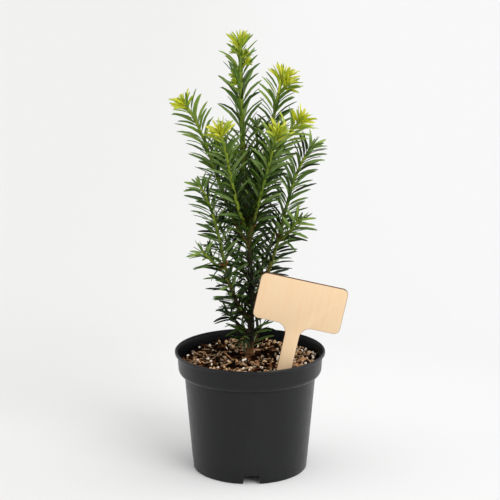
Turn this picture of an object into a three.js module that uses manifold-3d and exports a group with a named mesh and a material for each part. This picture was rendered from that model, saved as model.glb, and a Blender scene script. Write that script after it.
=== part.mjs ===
// English yew, a young plant in its nursery pot, with a bare wooden plant label.
//
// Units are millimetres and +Z is up. The origin is the centre of the pot's underside, and the
// label faces -Y. Compass directions are degrees round +Z: 0 is +X, 90 is +Y.
//
// The plant is a trunk that runs to the top, short boughs that leave it, and shoots that carry
// the needles. A shoot is one solid: a tapering stem, its side twigs and its needles. The trunk's
// own needles stand on thin sleeves of green rind that fit round the wood.

import * as THREE from 'three';
import { mergeVertices } from 'three/addons/utils/BufferGeometryUtils.js';
import Module from 'manifold-3d';

const wasm = await Module();
wasm.setup();

// ------------------------------------------------------------------ driving dimensions

const GAP = 0.3; // clearance between solids that touch on the real plant
const CLEAR = 0.4; // the same between faceted round limbs, whose flats lie inside their radius
const NEAREST = 0.33; // what a needle keeps from everything but its own stem
const WELD = 1e-3; // vertices nearer than this become one
const SLIVERS = [0.05, 0.03, 0.07, 0.02, 0.1]; // how far a surface may move to lose a short edge

// Radii are those of the pot's outside.
const POT = {
  height: 105,
  wall: 1.3,
  lipRadius: 65,
  lipHeight: 3.9,
  lipBevel: 1, // along the lip's top edge
  collarTopRadius: 62.8, // under the lip
  collarRadius: 62, // where the collar's underside starts to curve in
  undersideTop: 89.4,
  undersideRadius: 5.4, // of that curve's arc, which ends in the crease above the body
  undersideSweep: 80, // degrees
  shoulderRadius: 56.8,
  shoulderHeight: 83.9,
  footRadius: 49.7,
  footWidth: 6, // width of the outer ring that stands on the ground
  footChamfer: 0.8,
  centreFootRadius: 15,
  archHeight: 7.5, // how far the floor between the two feet is raised
  archSlope: 3, // how far its two sides lean
  notches: 4,
  notchWidth: 17,
  notchSlope: 2.3,
  notchTurn: -88.5, // compass direction of the first drain notch
  segments: 36,
};

const SOIL = {
  centreLevel: 97,
  wallLevel: 94.5,
  lump: 0.8, // height of a lump
  lumpLengths: [27, 33], // from lump to lump, across and along the pot
  rippleLength: 19,
  rippleShare: 0.6, // height of the finer ripple, as a share of a lump
  edgeRadius: 60.6,
  rings: 5,
  segments: 24,
};

const LABEL = {
  boardWidth: 74.3,
  boardHeight: 39.6,
  cornerRadius: 5,
  stemWidth: 12.4,
  stemOffset: -0.8, // of the stem's centre line from the board's
  stemLength: 90.7,
  pointLength: 12,
  filletRadius: 9,
  thickness: 3,
  centre: [42.2, -40, 157.3], // of the board
  lean: 12.5, // degrees clockwise, seen from the front
};

const TRUNK = {
  // the axis, from the foot to the tip: a slight sweep towards -X
  axis: [
    [0, 4, 95],
    [1, 3.8, 140],
    [-1.6, 3, 215],
    [-5, 1.8, 262],
    [-7.4, 0.5, 325],
    [-8, 0, 371],
  ],
  footRadius: 3.1,
  tipRadius: 0.6,
  taperPower: 0.85, // under 1, the trunk thins fastest near its foot
  flare: 1.5, // added at the foot, and gone by about three flare heights above it
  flareHeight: 5,
  sides: 8,
  rings: 24,
};

// A shoot leaves the trunk at height `from`, in a compass direction, at `leave` degrees above
// level. Its tip lies `reach` out from there and at height `top`, pointing `tip` degrees above
// level. The first `bough` millimetres are bare wood and are the bough's own solid.
const SHOOTS = [
  { name: 'right_long', from: 146, compass: 4, reach: 54, top: 284, leave: 53.5, tip: 49.5, bough: 14,
    twigs: [{ at: 0.4, compass: -40, reach: 23, rise: 22, leave: 25, tip: 45 }] },
  { name: 'left_long', from: 126, compass: -166, reach: 45, top: 251, leave: 51, tip: 55.5, bough: 14,
    twigs: [{ at: 0.42, compass: -152, reach: 23, rise: 18, leave: 12, tip: 38 }] },
  { name: 'left_high', from: 196, compass: 176, reach: 57, top: 320.5, leave: 54.5, tip: 52, bough: 14 },
  { name: 'right_high', from: 232, compass: 12, reach: 32.5, top: 341, leave: 46, tip: 63, bough: 14,
    twigs: [{ at: 0.86, compass: -10, reach: 11, rise: 9.5, leave: 30, tip: 40 }] },
  { name: 'right_middle', from: 219, compass: -12, reach: 46.5, top: 307.5, leave: 67, tip: 45.5, bough: 16 },
  { name: 'front_right', from: 204, compass: -50, reach: 38, top: 300.5, leave: 66.5, tip: 66.5, bough: 12 },
  { name: 'front_left', from: 209, compass: -129, reach: 37.5, top: 300.5, leave: 50.5, tip: 62.5, bough: 12 },
  { name: 'back_right', from: 199, compass: 66, reach: 38, top: 266, leave: 45, tip: 62, bough: 13 },
  { name: 'back_left', from: 205, compass: 116, reach: 36, top: 272, leave: 48, tip: 62, bough: 12 },
  { name: 'back_middle', from: 178, compass: 92, reach: 47, top: 236, leave: 38, tip: 52, bough: 14 },
  { name: 'back_low_right', from: 157, compass: 52, reach: 46, top: 216, leave: 35, tip: 55, bough: 15 },
  { name: 'back_low_left', from: 165, compass: 130, reach: 45, top: 212, leave: 32, tip: 55, bough: 15 },
  { name: 'front_low', from: 132, compass: -128, reach: 27, top: 172, leave: 32, tip: 60, bough: 11 },
  { name: 'back_foot', from: 134, compass: 85, reach: 34, top: 164, leave: 25, tip: 45, bough: 12 },
  { name: 'low_left', from: 118, compass: 168, reach: 23, top: 137, leave: 25, tip: 50, bough: 8 },
  { name: 'foot_left', from: 121, compass: -120, reach: 15, top: 116, leave: 5, tip: -40, bough: 7 },
  { name: 'foot_right', from: 115, compass: 20, reach: 18, top: 129, leave: 20, tip: 45, bough: 7 },
];

const STEM = {
  boughRadius: 1.9, // where it leaves the trunk
  baseRadius: 1.5, // where the bough ends and the shoot's own stem starts
  tipRadius: 0.7,
  twigShare: 0.75, // of the base radius, for a side twig
  leavePull: 0.35, // share of the straight length over which a stem keeps its first direction
  tipPull: 0.3, // the same, for the direction of its tip
  sides: 3,
  boughSides: 6,
  ringEvery: 14, // length of one straight stretch of a stem
};

// The trunk's own needles: each sleeve covers the trunk between two heights.
const SLEEVES = [
  { name: 'leader', from: 247, to: 372 },
  { name: 'trunk_middle', from: 183, to: 195 },
  { name: 'trunk_low', from: 104, to: 112 },
];
const SLEEVE = {
  rind: 0.4, // its thickness
  cap: 1.6, // how far the leader's sleeve closes over the trunk's tip
  margin: 1, // bare rind between the last needle and the sleeve's end
  firstNeedle: 2,
};

const NEEDLE = {
  length: 22,
  lengthSpread: 0.2,
  width: 4.4,
  slimShare: 0.55, // width of a very short needle, as a share of a full one
  thickness: 1.1,
  widestAt: 0.45, // share of the length, where the blade also bends outwards
  firstOnShoot: 1.5, // distance of the first needle from the stem's start
  firstOnTwig: 4,
  spacing: 3.5,
  lastFromTip: 0.5,
  atTip: 3, // extra needles close to the tip
  tipSpacing: 0.8,
  goldenAngle: 137.508,
  comb: 0.25, // how far needles swing away from the front and back of a stem, in radians
  baseAngle: 42, // degrees from the stem's direction
  baseSpread: 8,
  outerAngle: 70,
  outerSpread: 16,
  youngLength: 18, // the last stretch of a shoot, where needles are shorter and more upright
  youngShare: 0.5, // length of the last needles, as a share of a full one
  youngClose: 28, // degrees by which the last needles close up
  sunk: 0.3, // how far a root passes beyond the stem's axis
  lowest: 100, // no needle reaches below this height
};

const FINISHES = {
  pot: { color: 0x2b2c2e, roughness: 0.5, metalness: 0 },
  soil: { color: 0x4a3424, roughness: 0.95, metalness: 0 },
  label: { color: 0xe6c493, roughness: 0.65, metalness: 0 },
  bark: { color: 0x5e4326, roughness: 0.85, metalness: 0 },
  needles: { color: 0x2f5a2a, roughness: 0.45, metalness: 0 },
};

// ------------------------------------------------------------------ small helpers

const radians = THREE.MathUtils.degToRad;

/** The same number from 0 to 1 for the same n, spread like a random draw. */
function jitter(n) {
  const x = Math.sin(n * 12.9898 + 4.1414) * 43758.5453;
  return x - Math.floor(x);
}

function direction(compass, elevation) {
  const a = radians(compass);
  const e = radians(elevation);
  return new THREE.Vector3(Math.cos(a) * Math.cos(e), Math.sin(a) * Math.cos(e), Math.sin(e));
}

/** A closed geometry as a solid that faces outwards, whichever way its triangles ran. */
function toSolid(geometry) {
  const bare = geometry.clone();
  bare.deleteAttribute('normal');
  bare.deleteAttribute('uv');
  const merged = mergeVertices(bare, WELD);
  const vertProperties = merged.attributes.position.array;
  const triVerts = new Uint32Array(merged.index.array);
  const solid = new wasm.Manifold(new wasm.Mesh({ numProp: 3, vertProperties, triVerts }));
  if (solid.volume() > 0) return solid;
  return new wasm.Manifold(new wasm.Mesh({ numProp: 3, vertProperties, triVerts: triVerts.reverse() }));
}

function toGeometry(solid) {
  const { vertProperties, triVerts } = solid.getMesh();
  const geometry = new THREE.BufferGeometry();
  geometry.setAttribute('position', new THREE.BufferAttribute(vertProperties, 3));
  geometry.setIndex(new THREE.BufferAttribute(triVerts, 1));
  return geometry;
}

function toMesh(solid, name, finish) {
  const geometry = toGeometry(solid);
  geometry.computeVertexNormals();
  const mesh = new THREE.Mesh(geometry, new THREE.MeshStandardMaterial(finish));
  mesh.name = name;
  return mesh;
}

/** Whether every edge joins just two triangles, also where two edges lie on each other. */
function isClean(solid) {
  const corners = mergeVertices(toGeometry(solid), WELD / 10).index.array;
  const uses = new Map();
  for (let i = 0; i < corners.length; i += 3) {
    const triangle = corners.slice(i, i + 3);
    if (new Set(triangle).size < 3) continue;
    triangle.forEach((corner, k) => {
      const edge = [corner, triangle[(k + 1) % 3]].sort((a, b) => a - b).join();
      uses.set(edge, (uses.get(edge) ?? 0) + 1);
    });
  }
  return [...uses.values()].every((count) => count === 2);
}

/** A joined solid without the slivers that joining left. */
function tidied(solid) {
  const whole = largestPart(solid).asOriginal();
  const candidates = SLIVERS.map((tolerance) => toSolid(toGeometry(whole.simplify(tolerance))));
  return candidates.find(isClean) ?? whole;
}

function largestPart(solid) {
  const parts = solid.decompose();
  return parts.reduce((best, part) => (part.volume() > best.volume() ? part : best));
}

// ------------------------------------------------------------------ limbs

/** A path with a frame that never twists: `side` is level, or nearly, and square to the path. */
class LimbPath {
  constructor(curve, side) {
    this.curve = curve;
    this.length = curve.getLength();
    this.side = side;
  }

  frameAt(distance) {
    const t = THREE.MathUtils.clamp(distance / this.length, 0, 1);
    const tangent = this.curve.getTangentAt(t);
    const beyond = distance - t * this.length; // the path runs on straight past its ends
    const point = this.curve.getPointAt(t).addScaledVector(tangent, beyond);
    const normal = new THREE.Vector3().crossVectors(this.side, tangent).normalize();
    const side = new THREE.Vector3().crossVectors(tangent, normal);
    return { point, tangent, normal, side };
  }
}

/** A cylinder bent along a path from one distance to another, with its radius set on the way. */
function limbSolid(path, start, end, radiusAt, sides, rings) {
  const geometry = new THREE.CylinderGeometry(1, 1, 1, sides, rings);
  const positions = geometry.attributes.position;
  const v = new THREE.Vector3();
  for (let i = 0; i < positions.count; i += 1) {
    v.fromBufferAttribute(positions, i);
    const distance = THREE.MathUtils.lerp(start, end, v.y + 0.5);
    const { point, normal, side } = path.frameAt(distance);
    const radius = radiusAt(distance);
    point.addScaledVector(normal, v.z * radius).addScaledVector(side, v.x * radius);
    positions.setXYZ(i, point.x, point.y, point.z);
  }
  return toSolid(geometry);
}

const trunkPoints = TRUNK.axis.map((p) => new THREE.Vector3(...p));
const trunkCurve = new THREE.CatmullRomCurve3(trunkPoints, false, 'centripetal');
const trunkPath = new LimbPath(trunkCurve, new THREE.Vector3(0, 1, 0));

/** Distance along the trunk at which its axis reaches a height. */
function trunkDistance(height) {
  let low = 0;
  let high = trunkPath.length;
  for (let i = 0; i < 30; i += 1) {
    const middle = (low + high) / 2;
    if (trunkPath.frameAt(middle).point.z < height) low = middle;
    else high = middle;
  }
  return low;
}

function trunkRadius(distance) {
  const along = THREE.MathUtils.clamp(distance, 0, trunkPath.length);
  const share = (along / trunkPath.length) ** TRUNK.taperPower;
  const flare = TRUNK.flare * Math.exp(-along / TRUNK.flareHeight);
  return THREE.MathUtils.lerp(TRUNK.footRadius, TRUNK.tipRadius, share) + flare;
}

/** The trunk, or with `extra` the space that its neighbours leave for it. */
function trunkSolid(extra = 0) {
  const radiusAt = (d) => trunkRadius(d) + extra;
  return limbSolid(trunkPath, -extra, trunkPath.length + extra, radiusAt, TRUNK.sides, TRUNK.rings);
}

/** A shoot's path, as a curve that starts on the trunk's axis or on its parent's. */
function shootPath(start, { compass, reach, rise, leave, tip }) {
  const across = direction(compass, 0).multiplyScalar(reach);
  const end = start.clone().add(across).setZ(start.z + rise);
  const length = start.distanceTo(end);
  const curve = new THREE.CubicBezierCurve3(
    start,
    start.clone().addScaledVector(direction(compass, leave), length * STEM.leavePull),
    end.clone().addScaledVector(direction(compass, tip), -length * STEM.tipPull),
    end,
  );
  return new LimbPath(curve, direction(compass + 90, 0));
}

function rings(length) {
  return Math.max(3, Math.round(length / STEM.ringEvery));
}

function stemRadius(path, share = 1) {
  return (d) => THREE.MathUtils.lerp(STEM.baseRadius * share, STEM.tipRadius, d / path.length);
}

// ------------------------------------------------------------------ needles

/** A needle's turn round its stem, combed a little towards the stem's two sides as seen from -Y. */
function needleTurn(number, normal, side) {
  const turn = radians(number * NEEDLE.goldenAngle);
  const front = Math.atan2(-side.y, -normal.y);
  return turn + NEEDLE.comb * Math.sin(2 * (turn - front));
}

/** A needle's three points and its flat direction, `distance` along a path. */
function needleAxis(path, distance, number) {
  const { point, tangent, normal, side } = path.frameAt(distance);
  const turn = needleTurn(number, normal, side);
  const outward = normal.clone().multiplyScalar(Math.cos(turn)).addScaledVector(side, Math.sin(turn));
  const young = THREE.MathUtils.smoothstep(distance, path.length - NEEDLE.youngLength, path.length);
  const spread = 1 + NEEDLE.lengthSpread * (jitter(number) - 0.5);
  const length = NEEDLE.length * spread * THREE.MathUtils.lerp(1, NEEDLE.youngShare, young);
  const away = (angle) => {
    const a = radians(angle - NEEDLE.youngClose * young * (angle / NEEDLE.outerAngle));
    return tangent.clone().multiplyScalar(Math.cos(a)).addScaledVector(outward, Math.sin(a));
  };
  const first = away(NEEDLE.baseAngle + NEEDLE.baseSpread * (jitter(number + 0.3) - 0.5));
  const second = away(NEEDLE.outerAngle + NEEDLE.outerSpread * (jitter(number + 0.6) - 0.5));
  const bend = point.clone().addScaledVector(first, length * NEEDLE.widestAt);
  const end = bend.clone().addScaledVector(second, length * (1 - NEEDLE.widestAt));
  const root = point.clone().addScaledVector(first, -NEEDLE.sunk);
  const across = new THREE.Vector3().crossVectors(tangent, outward).normalize();
  const face = new THREE.Vector3().crossVectors(across, second.clone().add(first)).normalize();
  return { root, bend, end, across, face, share: length / NEEDLE.length };
}

/** The blade, as an octahedron drawn out between root and tip. */
function needleSolid({ root, bend, end, across, face, share }) {
  const geometry = new THREE.OctahedronGeometry(1, 0);
  const positions = geometry.attributes.position;
  const v = new THREE.Vector3();
  const halfWidth = (NEEDLE.width / 2) * THREE.MathUtils.lerp(NEEDLE.slimShare, 1, share);
  for (let i = 0; i < positions.count; i += 1) {
    v.fromBufferAttribute(positions, i);
    const target = v.x > 0.5 ? end : v.x < -0.5 ? root : bend;
    const placed = target
      .clone()
      .addScaledVector(across, v.y * halfWidth)
      .addScaledVector(face, v.z * (NEEDLE.thickness / 2));
    positions.setXYZ(i, placed.x, placed.y, placed.z);
  }
  return toSolid(geometry);
}

/** Needle places along one stem: the distance, and the number that sets the turn round it. */
function* needlePlaces(path, from, seed) {
  let number = seed;
  for (let d = from; d < path.length - NEEDLE.lastFromTip; d += NEEDLE.spacing) {
    yield { path, distance: d, number };
    number += 1;
  }
  for (let extra = 1; extra <= NEEDLE.atTip; extra += 1) {
    yield { path, distance: path.length - NEEDLE.tipSpacing * extra, number: number + extra };
  }
}

/** Whether two solids are nearer to each other than the clearance. */
function tooNear(a, b) {
  const boxA = a.box;
  const boxB = b.box;
  for (let k = 0; k < 3; k += 1) {
    if (boxA.min[k] > boxB.max[k] + NEAREST || boxB.min[k] > boxA.max[k] + NEAREST) return false;
  }
  return a.solid.minGap(b.solid, 2 * NEAREST) < NEAREST;
}

function boxed(solid, owner) {
  return { solid, owner, box: solid.boundingBox() };
}

// ------------------------------------------------------------------ pot, soil and label

/** A profile of [radius, height] points, turned round the Z axis. */
function turned(profile, segments) {
  const points = profile.map(([r, z]) => new THREE.Vector2(r, z));
  return new THREE.LatheGeometry(points, segments).rotateX(Math.PI / 2);
}

/** The curve of the collar's underside, `inset` inside the pot's surface, from the top down. */
function undersideArc(inset) {
  const { collarRadius, undersideTop, undersideRadius, undersideSweep } = POT;
  const radius = undersideRadius - inset;
  return [0, 0.25, 0.5, 0.75, 1].map((share) => {
    const a = radians(undersideSweep * share);
    return [collarRadius - undersideRadius + radius * Math.cos(a), undersideTop - radius * Math.sin(a)];
  });
}

/** The outside of the pot, from the centre of its underside to the top of the lip. */
function potOutside() {
  const { height, lipRadius, lipHeight, lipBevel, collarTopRadius, shoulderRadius, shoulderHeight } = POT;
  const { footRadius, footWidth, footChamfer, centreFootRadius, archHeight, archSlope } = POT;
  return [
    [0, 0],
    [centreFootRadius, 0],
    [centreFootRadius + archSlope, archHeight],
    [footRadius - footWidth - archSlope, archHeight],
    [footRadius - footWidth, 0],
    [footRadius - footChamfer, 0],
    [footRadius, footChamfer],
    [shoulderRadius, shoulderHeight],
    ...undersideArc(0).reverse(),
    [collarTopRadius, height - lipHeight],
    [lipRadius, height - lipHeight + lipBevel],
    [lipRadius, height - lipBevel],
    [lipRadius - lipBevel, height],
  ];
}

/** The inside of the pot, from the lip down to the centre of its floor. */
function potInside(inset = 0) {
  const { height, lipRadius, lipHeight, lipBevel, collarTopRadius, shoulderRadius, shoulderHeight } = POT;
  const { footRadius, footWidth, centreFootRadius, archHeight, archSlope } = POT;
  const side = POT.wall + inset;
  return [
    [lipRadius - lipBevel - side, height],
    [collarTopRadius - side, height - lipHeight],
    ...undersideArc(side),
    [shoulderRadius - side, shoulderHeight + side],
    [footRadius - side, side],
    [footRadius - footWidth + side, side],
    [footRadius - footWidth - archSlope + side, archHeight + side],
    [centreFootRadius + archSlope - side, archHeight + side],
    [centreFootRadius - side, side],
    [0, side],
  ];
}

/** The drain notches, as wedges that run out through the foot ring. */
function notchSolid(extra = 0) {
  const half = POT.notchWidth / 2 + extra;
  const top = POT.archHeight + extra;
  const outline = new THREE.Shape();
  outline.moveTo(-half, -1);
  outline.lineTo(half, -1);
  outline.lineTo(half - POT.notchSlope, top);
  outline.lineTo(-half + POT.notchSlope, top);
  const inner = POT.footRadius - POT.footWidth - 2 - extra;
  const depth = POT.footRadius + 2 - inner;
  const notches = [];
  for (let i = 0; i < POT.notches; i += 1) {
    const wedge = new THREE.ExtrudeGeometry(outline, { depth, bevelEnabled: false, steps: 1 });
    wedge.rotateX(Math.PI / 2).rotateZ(Math.PI); // up is +Z, and it runs along +Y
    wedge.translate(0, inner, 0);
    wedge.rotateZ(radians(POT.notchTurn - 90 + (i * 360) / POT.notches));
    notches.push(toSolid(wedge));
  }
  return wasm.Manifold.union(notches);
}

function potSolid() {
  return toSolid(turned([...potOutside(), ...potInside()], POT.segments)).subtract(notchSolid());
}

/** Height of the soil's surface at a place, less its fine grain. */
function soilLevel(x, y) {
  const fall = (SOIL.centreLevel - SOIL.wallLevel) * (Math.hypot(x, y) / SOIL.edgeRadius) ** 2;
  const turn = 2 * Math.PI;
  const [across, along] = SOIL.lumpLengths;
  const lumps = Math.sin((turn * x) / across + 1) * Math.cos((turn * y) / along);
  const ripple = SOIL.rippleShare * Math.sin((turn * (x - 3 * y)) / (3 * SOIL.rippleLength));
  return SOIL.centreLevel - fall + SOIL.lump * (lumps + ripple);
}

function soilSolid(trunkSpace, labelSpace) {
  const inside = potInside(GAP).filter(([, z]) => z < SOIL.wallLevel);
  const top = [];
  for (let i = SOIL.rings; i >= 0; i -= 1) top.push([(SOIL.edgeRadius * i) / SOIL.rings, SOIL.wallLevel]);
  const geometry = turned([...inside.reverse(), ...top], SOIL.segments);
  const positions = geometry.attributes.position;
  for (let i = 0; i < positions.count; i += 1) {
    const isTop = positions.getZ(i) > SOIL.wallLevel - WELD;
    if (!isTop) continue;
    positions.setZ(i, soilLevel(positions.getX(i), positions.getY(i)));
  }
  return toSolid(geometry).subtract(notchSolid(GAP + POT.wall)).subtract(trunkSpace).subtract(labelSpace);
}

/** The label's outline, with the centre of its board at 0, 0 and its stem pointing down. */
function labelOutline() {
  const { stemLength, pointLength, cornerRadius: c, filletRadius: f } = LABEL;
  const w = LABEL.boardWidth / 2;
  const h = LABEL.boardHeight / 2;
  const right = LABEL.stemOffset + LABEL.stemWidth / 2;
  const left = LABEL.stemOffset - LABEL.stemWidth / 2;
  const outline = new THREE.Shape();
  outline.moveTo(right + f, -h);
  outline.lineTo(w - c, -h);
  outline.absarc(w - c, -h + c, c, -Math.PI / 2, 0, false);
  outline.absarc(w - c, h - c, c, 0, Math.PI / 2, false);
  outline.absarc(-w + c, h - c, c, Math.PI / 2, Math.PI, false);
  outline.absarc(-w + c, -h + c, c, Math.PI, 1.5 * Math.PI, false);
  outline.lineTo(left - f, -h);
  outline.absarc(left - f, -h - f, f, Math.PI / 2, 0, true);
  outline.lineTo(left, -h - stemLength + pointLength);
  outline.lineTo(LABEL.stemOffset, -h - stemLength);
  outline.lineTo(right, -h - stemLength + pointLength);
  outline.lineTo(right, -h - f);
  outline.absarc(right + f, -h - f, f, Math.PI, Math.PI / 2, true);
  return outline;
}

function placeLabel(geometry) {
  return geometry.rotateX(Math.PI / 2).rotateY(radians(LABEL.lean)).translate(...LABEL.centre);
}

function labelSolid() {
  const options = { depth: LABEL.thickness, bevelEnabled: false, curveSegments: 5 };
  const plate = new THREE.ExtrudeGeometry(labelOutline(), options).translate(0, 0, -LABEL.thickness / 2);
  return toSolid(placeLabel(plate));
}

/** The slot that the label's stem makes in the soil. */
function labelSpace() {
  const long = LABEL.stemLength + GAP;
  const slot = new THREE.BoxGeometry(LABEL.stemWidth + 2 * GAP, long, LABEL.thickness + 2 * GAP);
  slot.translate(LABEL.stemOffset, -LABEL.boardHeight / 2 - long / 2, 0);
  return toSolid(placeLabel(slot));
}

// ------------------------------------------------------------------ the plant

/** Every stem that carries needles, with the needle places still to be filled. */
function makeStems(trunkSpace) {
  const stems = [];
  const boughs = [];
  SHOOTS.forEach((shoot, index) => {
    const start = trunkPath.frameAt(trunkDistance(shoot.from)).point;
    const path = shootPath(start, { ...shoot, rise: shoot.top - shoot.from });
    const boughRadius = (d) => THREE.MathUtils.lerp(STEM.boughRadius, STEM.baseRadius, d / shoot.bough);
    const spaceRadius = (d) => boughRadius(d) + CLEAR;
    const wood = limbSolid(path, 0, shoot.bough, boughRadius, STEM.boughSides, 3);
    boughs.push({
      name: `bough_${shoot.name}`,
      solid: largestPart(wood.subtract(trunkSpace)),
      space: limbSolid(path, 0, shoot.bough, spaceRadius, STEM.boughSides, 3),
    });

    const stemStart = shoot.bough + GAP;
    let stem = limbSolid(path, stemStart, path.length, stemRadius(path), STEM.sides, rings(path.length));
    const places = [...needlePlaces(path, stemStart + NEEDLE.firstOnShoot, 100 * index)];
    for (const twig of shoot.twigs ?? []) {
      const twigPath = shootPath(path.frameAt(path.length * twig.at).point, twig);
      const radius = stemRadius(twigPath, STEM.twigShare);
      stem = stem.add(limbSolid(twigPath, 0, twigPath.length, radius, STEM.sides, rings(twigPath.length)));
      places.push(...needlePlaces(twigPath, NEEDLE.firstOnTwig, 100 * index + 60));
    }
    stems.push({ name: `shoot_${shoot.name}`, solid: stem, places });
  });
  return { stems, boughs };
}

function makeSleeves() {
  return SLEEVES.map((sleeve, index) => {
    const isTop = sleeve.to > TRUNK.axis.at(-1)[2];
    const start = trunkDistance(sleeve.from);
    const end = isTop ? trunkPath.length + SLEEVE.cap : trunkDistance(sleeve.to);
    const radiusAt = (d) => trunkRadius(d) + CLEAR + SLEEVE.rind;
    const solid = limbSolid(trunkPath, start, end, radiusAt, TRUNK.sides, rings(end - start));
    const all = [...needlePlaces(trunkPath, start + SLEEVE.firstNeedle, 5000 + 100 * index)];
    const places = all.filter(({ distance }) => distance < end - SLEEVE.margin);
    return { name: `needles_${sleeve.name}`, solid, places, hollow: true };
  });
}

/** Fuses to each stem the needles that stay clear of every limb and of the other stems' needles. */
function fillNeedles(stems, limbs) {
  const obstacles = [...limbs, ...stems.map((stem) => boxed(stem.solid, stem.name))];
  const longest = Math.max(...stems.map((stem) => stem.places.length));
  const grown = new Map(stems.map((stem) => [stem.name, []]));
  for (let i = 0; i < longest; i += 1) {
    for (const { name, places, hollow } of stems) {
      if (i >= places.length) continue;
      const { path, distance, number } = places[i];
      const needle = boxed(needleSolid(needleAxis(path, distance, number)), name);
      const others = obstacles.filter(({ owner }) => owner !== name && !(hollow && owner === 'trunk'));
      const fits = needle.box.min[2] > NEEDLE.lowest && !others.some((other) => tooNear(needle, other));
      if (!fits) continue;
      grown.get(name).push(needle.solid);
      obstacles.push(needle);
    }
  }
  return grown;
}

const yew = new THREE.Group();
yew.name = 'english_yew';

const trunk = trunkSolid();
const trunkSpace = trunkSolid(CLEAR);
const label = labelSolid();
const { stems, boughs } = makeStems(trunkSpace);
const sleeves = makeSleeves();
const carriers = [...stems, ...sleeves];
const limbs = [
  boxed(trunk, 'trunk'),
  boxed(label, 'label'),
  ...boughs.map(({ name, solid }) => boxed(solid, name)),
];
const needles = fillNeedles(carriers, limbs);
const boughSpace = wasm.Manifold.union(boughs.map(({ space }) => space));

yew.add(toMesh(potSolid(), 'pot', FINISHES.pot));
yew.add(toMesh(soilSolid(trunkSpace, labelSpace()), 'potting_mix', FINISHES.soil));
yew.add(toMesh(label, 'plant_label', FINISHES.label));
yew.add(toMesh(trunk, 'trunk', FINISHES.bark));
for (const { name, solid } of boughs) yew.add(toMesh(solid, name, FINISHES.bark));
for (const { name, solid, hollow } of carriers) {
  let mass = wasm.Manifold.union([solid, ...needles.get(name)]);
  if (hollow) mass = mass.subtract(trunkSpace).subtract(boughSpace);
  yew.add(toMesh(tidied(mass), name, FINISHES.needles));
}

export default yew;
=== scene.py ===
"""A young english yew in a nursery pot, with needles, bark, buds, potting mix and a bare wooden label.

The stems follow the same rule as the part's own limbs and masses: a trunk that runs to the top,
shoots that leave it on plain curves, and needles set round each stem by the golden angle. Tables
are in millimetres and degrees, compass directions run round +Z from +X, and meshes are in metres.
"""

import math
from dataclasses import dataclass, replace

import bmesh
import bpy
import numpy as np
from bpy.props import FloatProperty, FloatVectorProperty, IntProperty, PointerProperty
from mathutils import Matrix, Vector, noise


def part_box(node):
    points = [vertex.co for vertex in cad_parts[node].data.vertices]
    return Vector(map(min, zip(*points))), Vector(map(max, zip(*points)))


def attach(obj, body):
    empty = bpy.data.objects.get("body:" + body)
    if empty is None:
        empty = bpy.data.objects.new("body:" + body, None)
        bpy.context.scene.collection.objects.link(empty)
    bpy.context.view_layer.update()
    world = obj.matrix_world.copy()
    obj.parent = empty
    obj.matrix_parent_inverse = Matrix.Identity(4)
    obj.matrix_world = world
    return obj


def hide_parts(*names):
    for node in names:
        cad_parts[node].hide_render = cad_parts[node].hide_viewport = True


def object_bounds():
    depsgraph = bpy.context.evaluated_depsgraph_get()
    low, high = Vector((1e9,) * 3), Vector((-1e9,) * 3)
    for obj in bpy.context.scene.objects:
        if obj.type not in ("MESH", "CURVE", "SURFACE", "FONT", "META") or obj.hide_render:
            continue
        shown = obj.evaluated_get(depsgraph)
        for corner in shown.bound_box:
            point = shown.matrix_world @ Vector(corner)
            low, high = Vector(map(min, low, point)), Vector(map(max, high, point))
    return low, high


bl_info = {
    "name": "Potted Yew Sapling",
    "version": (1, 0, 0),
    "blender": (4, 5, 0),
    "location": "View3D > Sidebar > Yew",
    "description": "Builds a young yew in a nursery pot with a bare wooden plant label",
    "category": "Add Mesh",
}

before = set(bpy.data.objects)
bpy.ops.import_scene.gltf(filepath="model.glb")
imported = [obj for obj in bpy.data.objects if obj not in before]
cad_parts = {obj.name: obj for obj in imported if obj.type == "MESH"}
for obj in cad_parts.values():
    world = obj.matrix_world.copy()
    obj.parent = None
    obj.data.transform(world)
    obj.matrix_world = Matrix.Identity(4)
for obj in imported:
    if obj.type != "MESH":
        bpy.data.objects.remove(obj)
CAD_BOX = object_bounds()
NODES = sorted(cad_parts)
POT_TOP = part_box("pot")[1]

MM = 0.001
NEAR = 0.01 * MM  # how close a vertex lies to a place where it is looked for
SAME = 0.001 * MM  # vertices closer than this are one
GOLDEN_ANGLE = 137.508

# ---------------------------------------------------------------- the plant's layout

# The trunk's axis from its foot to its tip, and the heights at which its own needles start and at
# which it becomes the leader.
TRUNK_AXIS = ((0, 4, 95), (1, 3.8, 140), (-1.6, 3, 215), (-5, 1.8, 262), (-7.4, 0.5, 325), (-8, 0, 371))
TRUNK_NEEDLES_FROM = 103
LEADER_FROM = 238


@dataclass(frozen=True)
class Twig:
    """A side twig: `at` is its place on its parent, as a share of the parent's length, and from
    there it ends `reach` further out and `rise` higher."""

    at: float
    compass: float
    reach: float
    rise: float
    leave: float
    tip: float
    growth: str = "green"
    gap: float = 1


@dataclass(frozen=True)
class Shoot:
    """A shoot leaves the trunk at height `start`, at `leave` degrees above level, and ends `reach`
    out at height `top`, at `tip` degrees. `bough` is the bare length at its foot, `growth` says how
    it ends, and `gap` is how much wider its needles stand than usual."""

    name: str
    start: float
    compass: float
    reach: float
    top: float
    leave: float
    tip: float
    bough: float
    growth: str = "green"
    gap: float = 1
    twigs: tuple = ()


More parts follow.
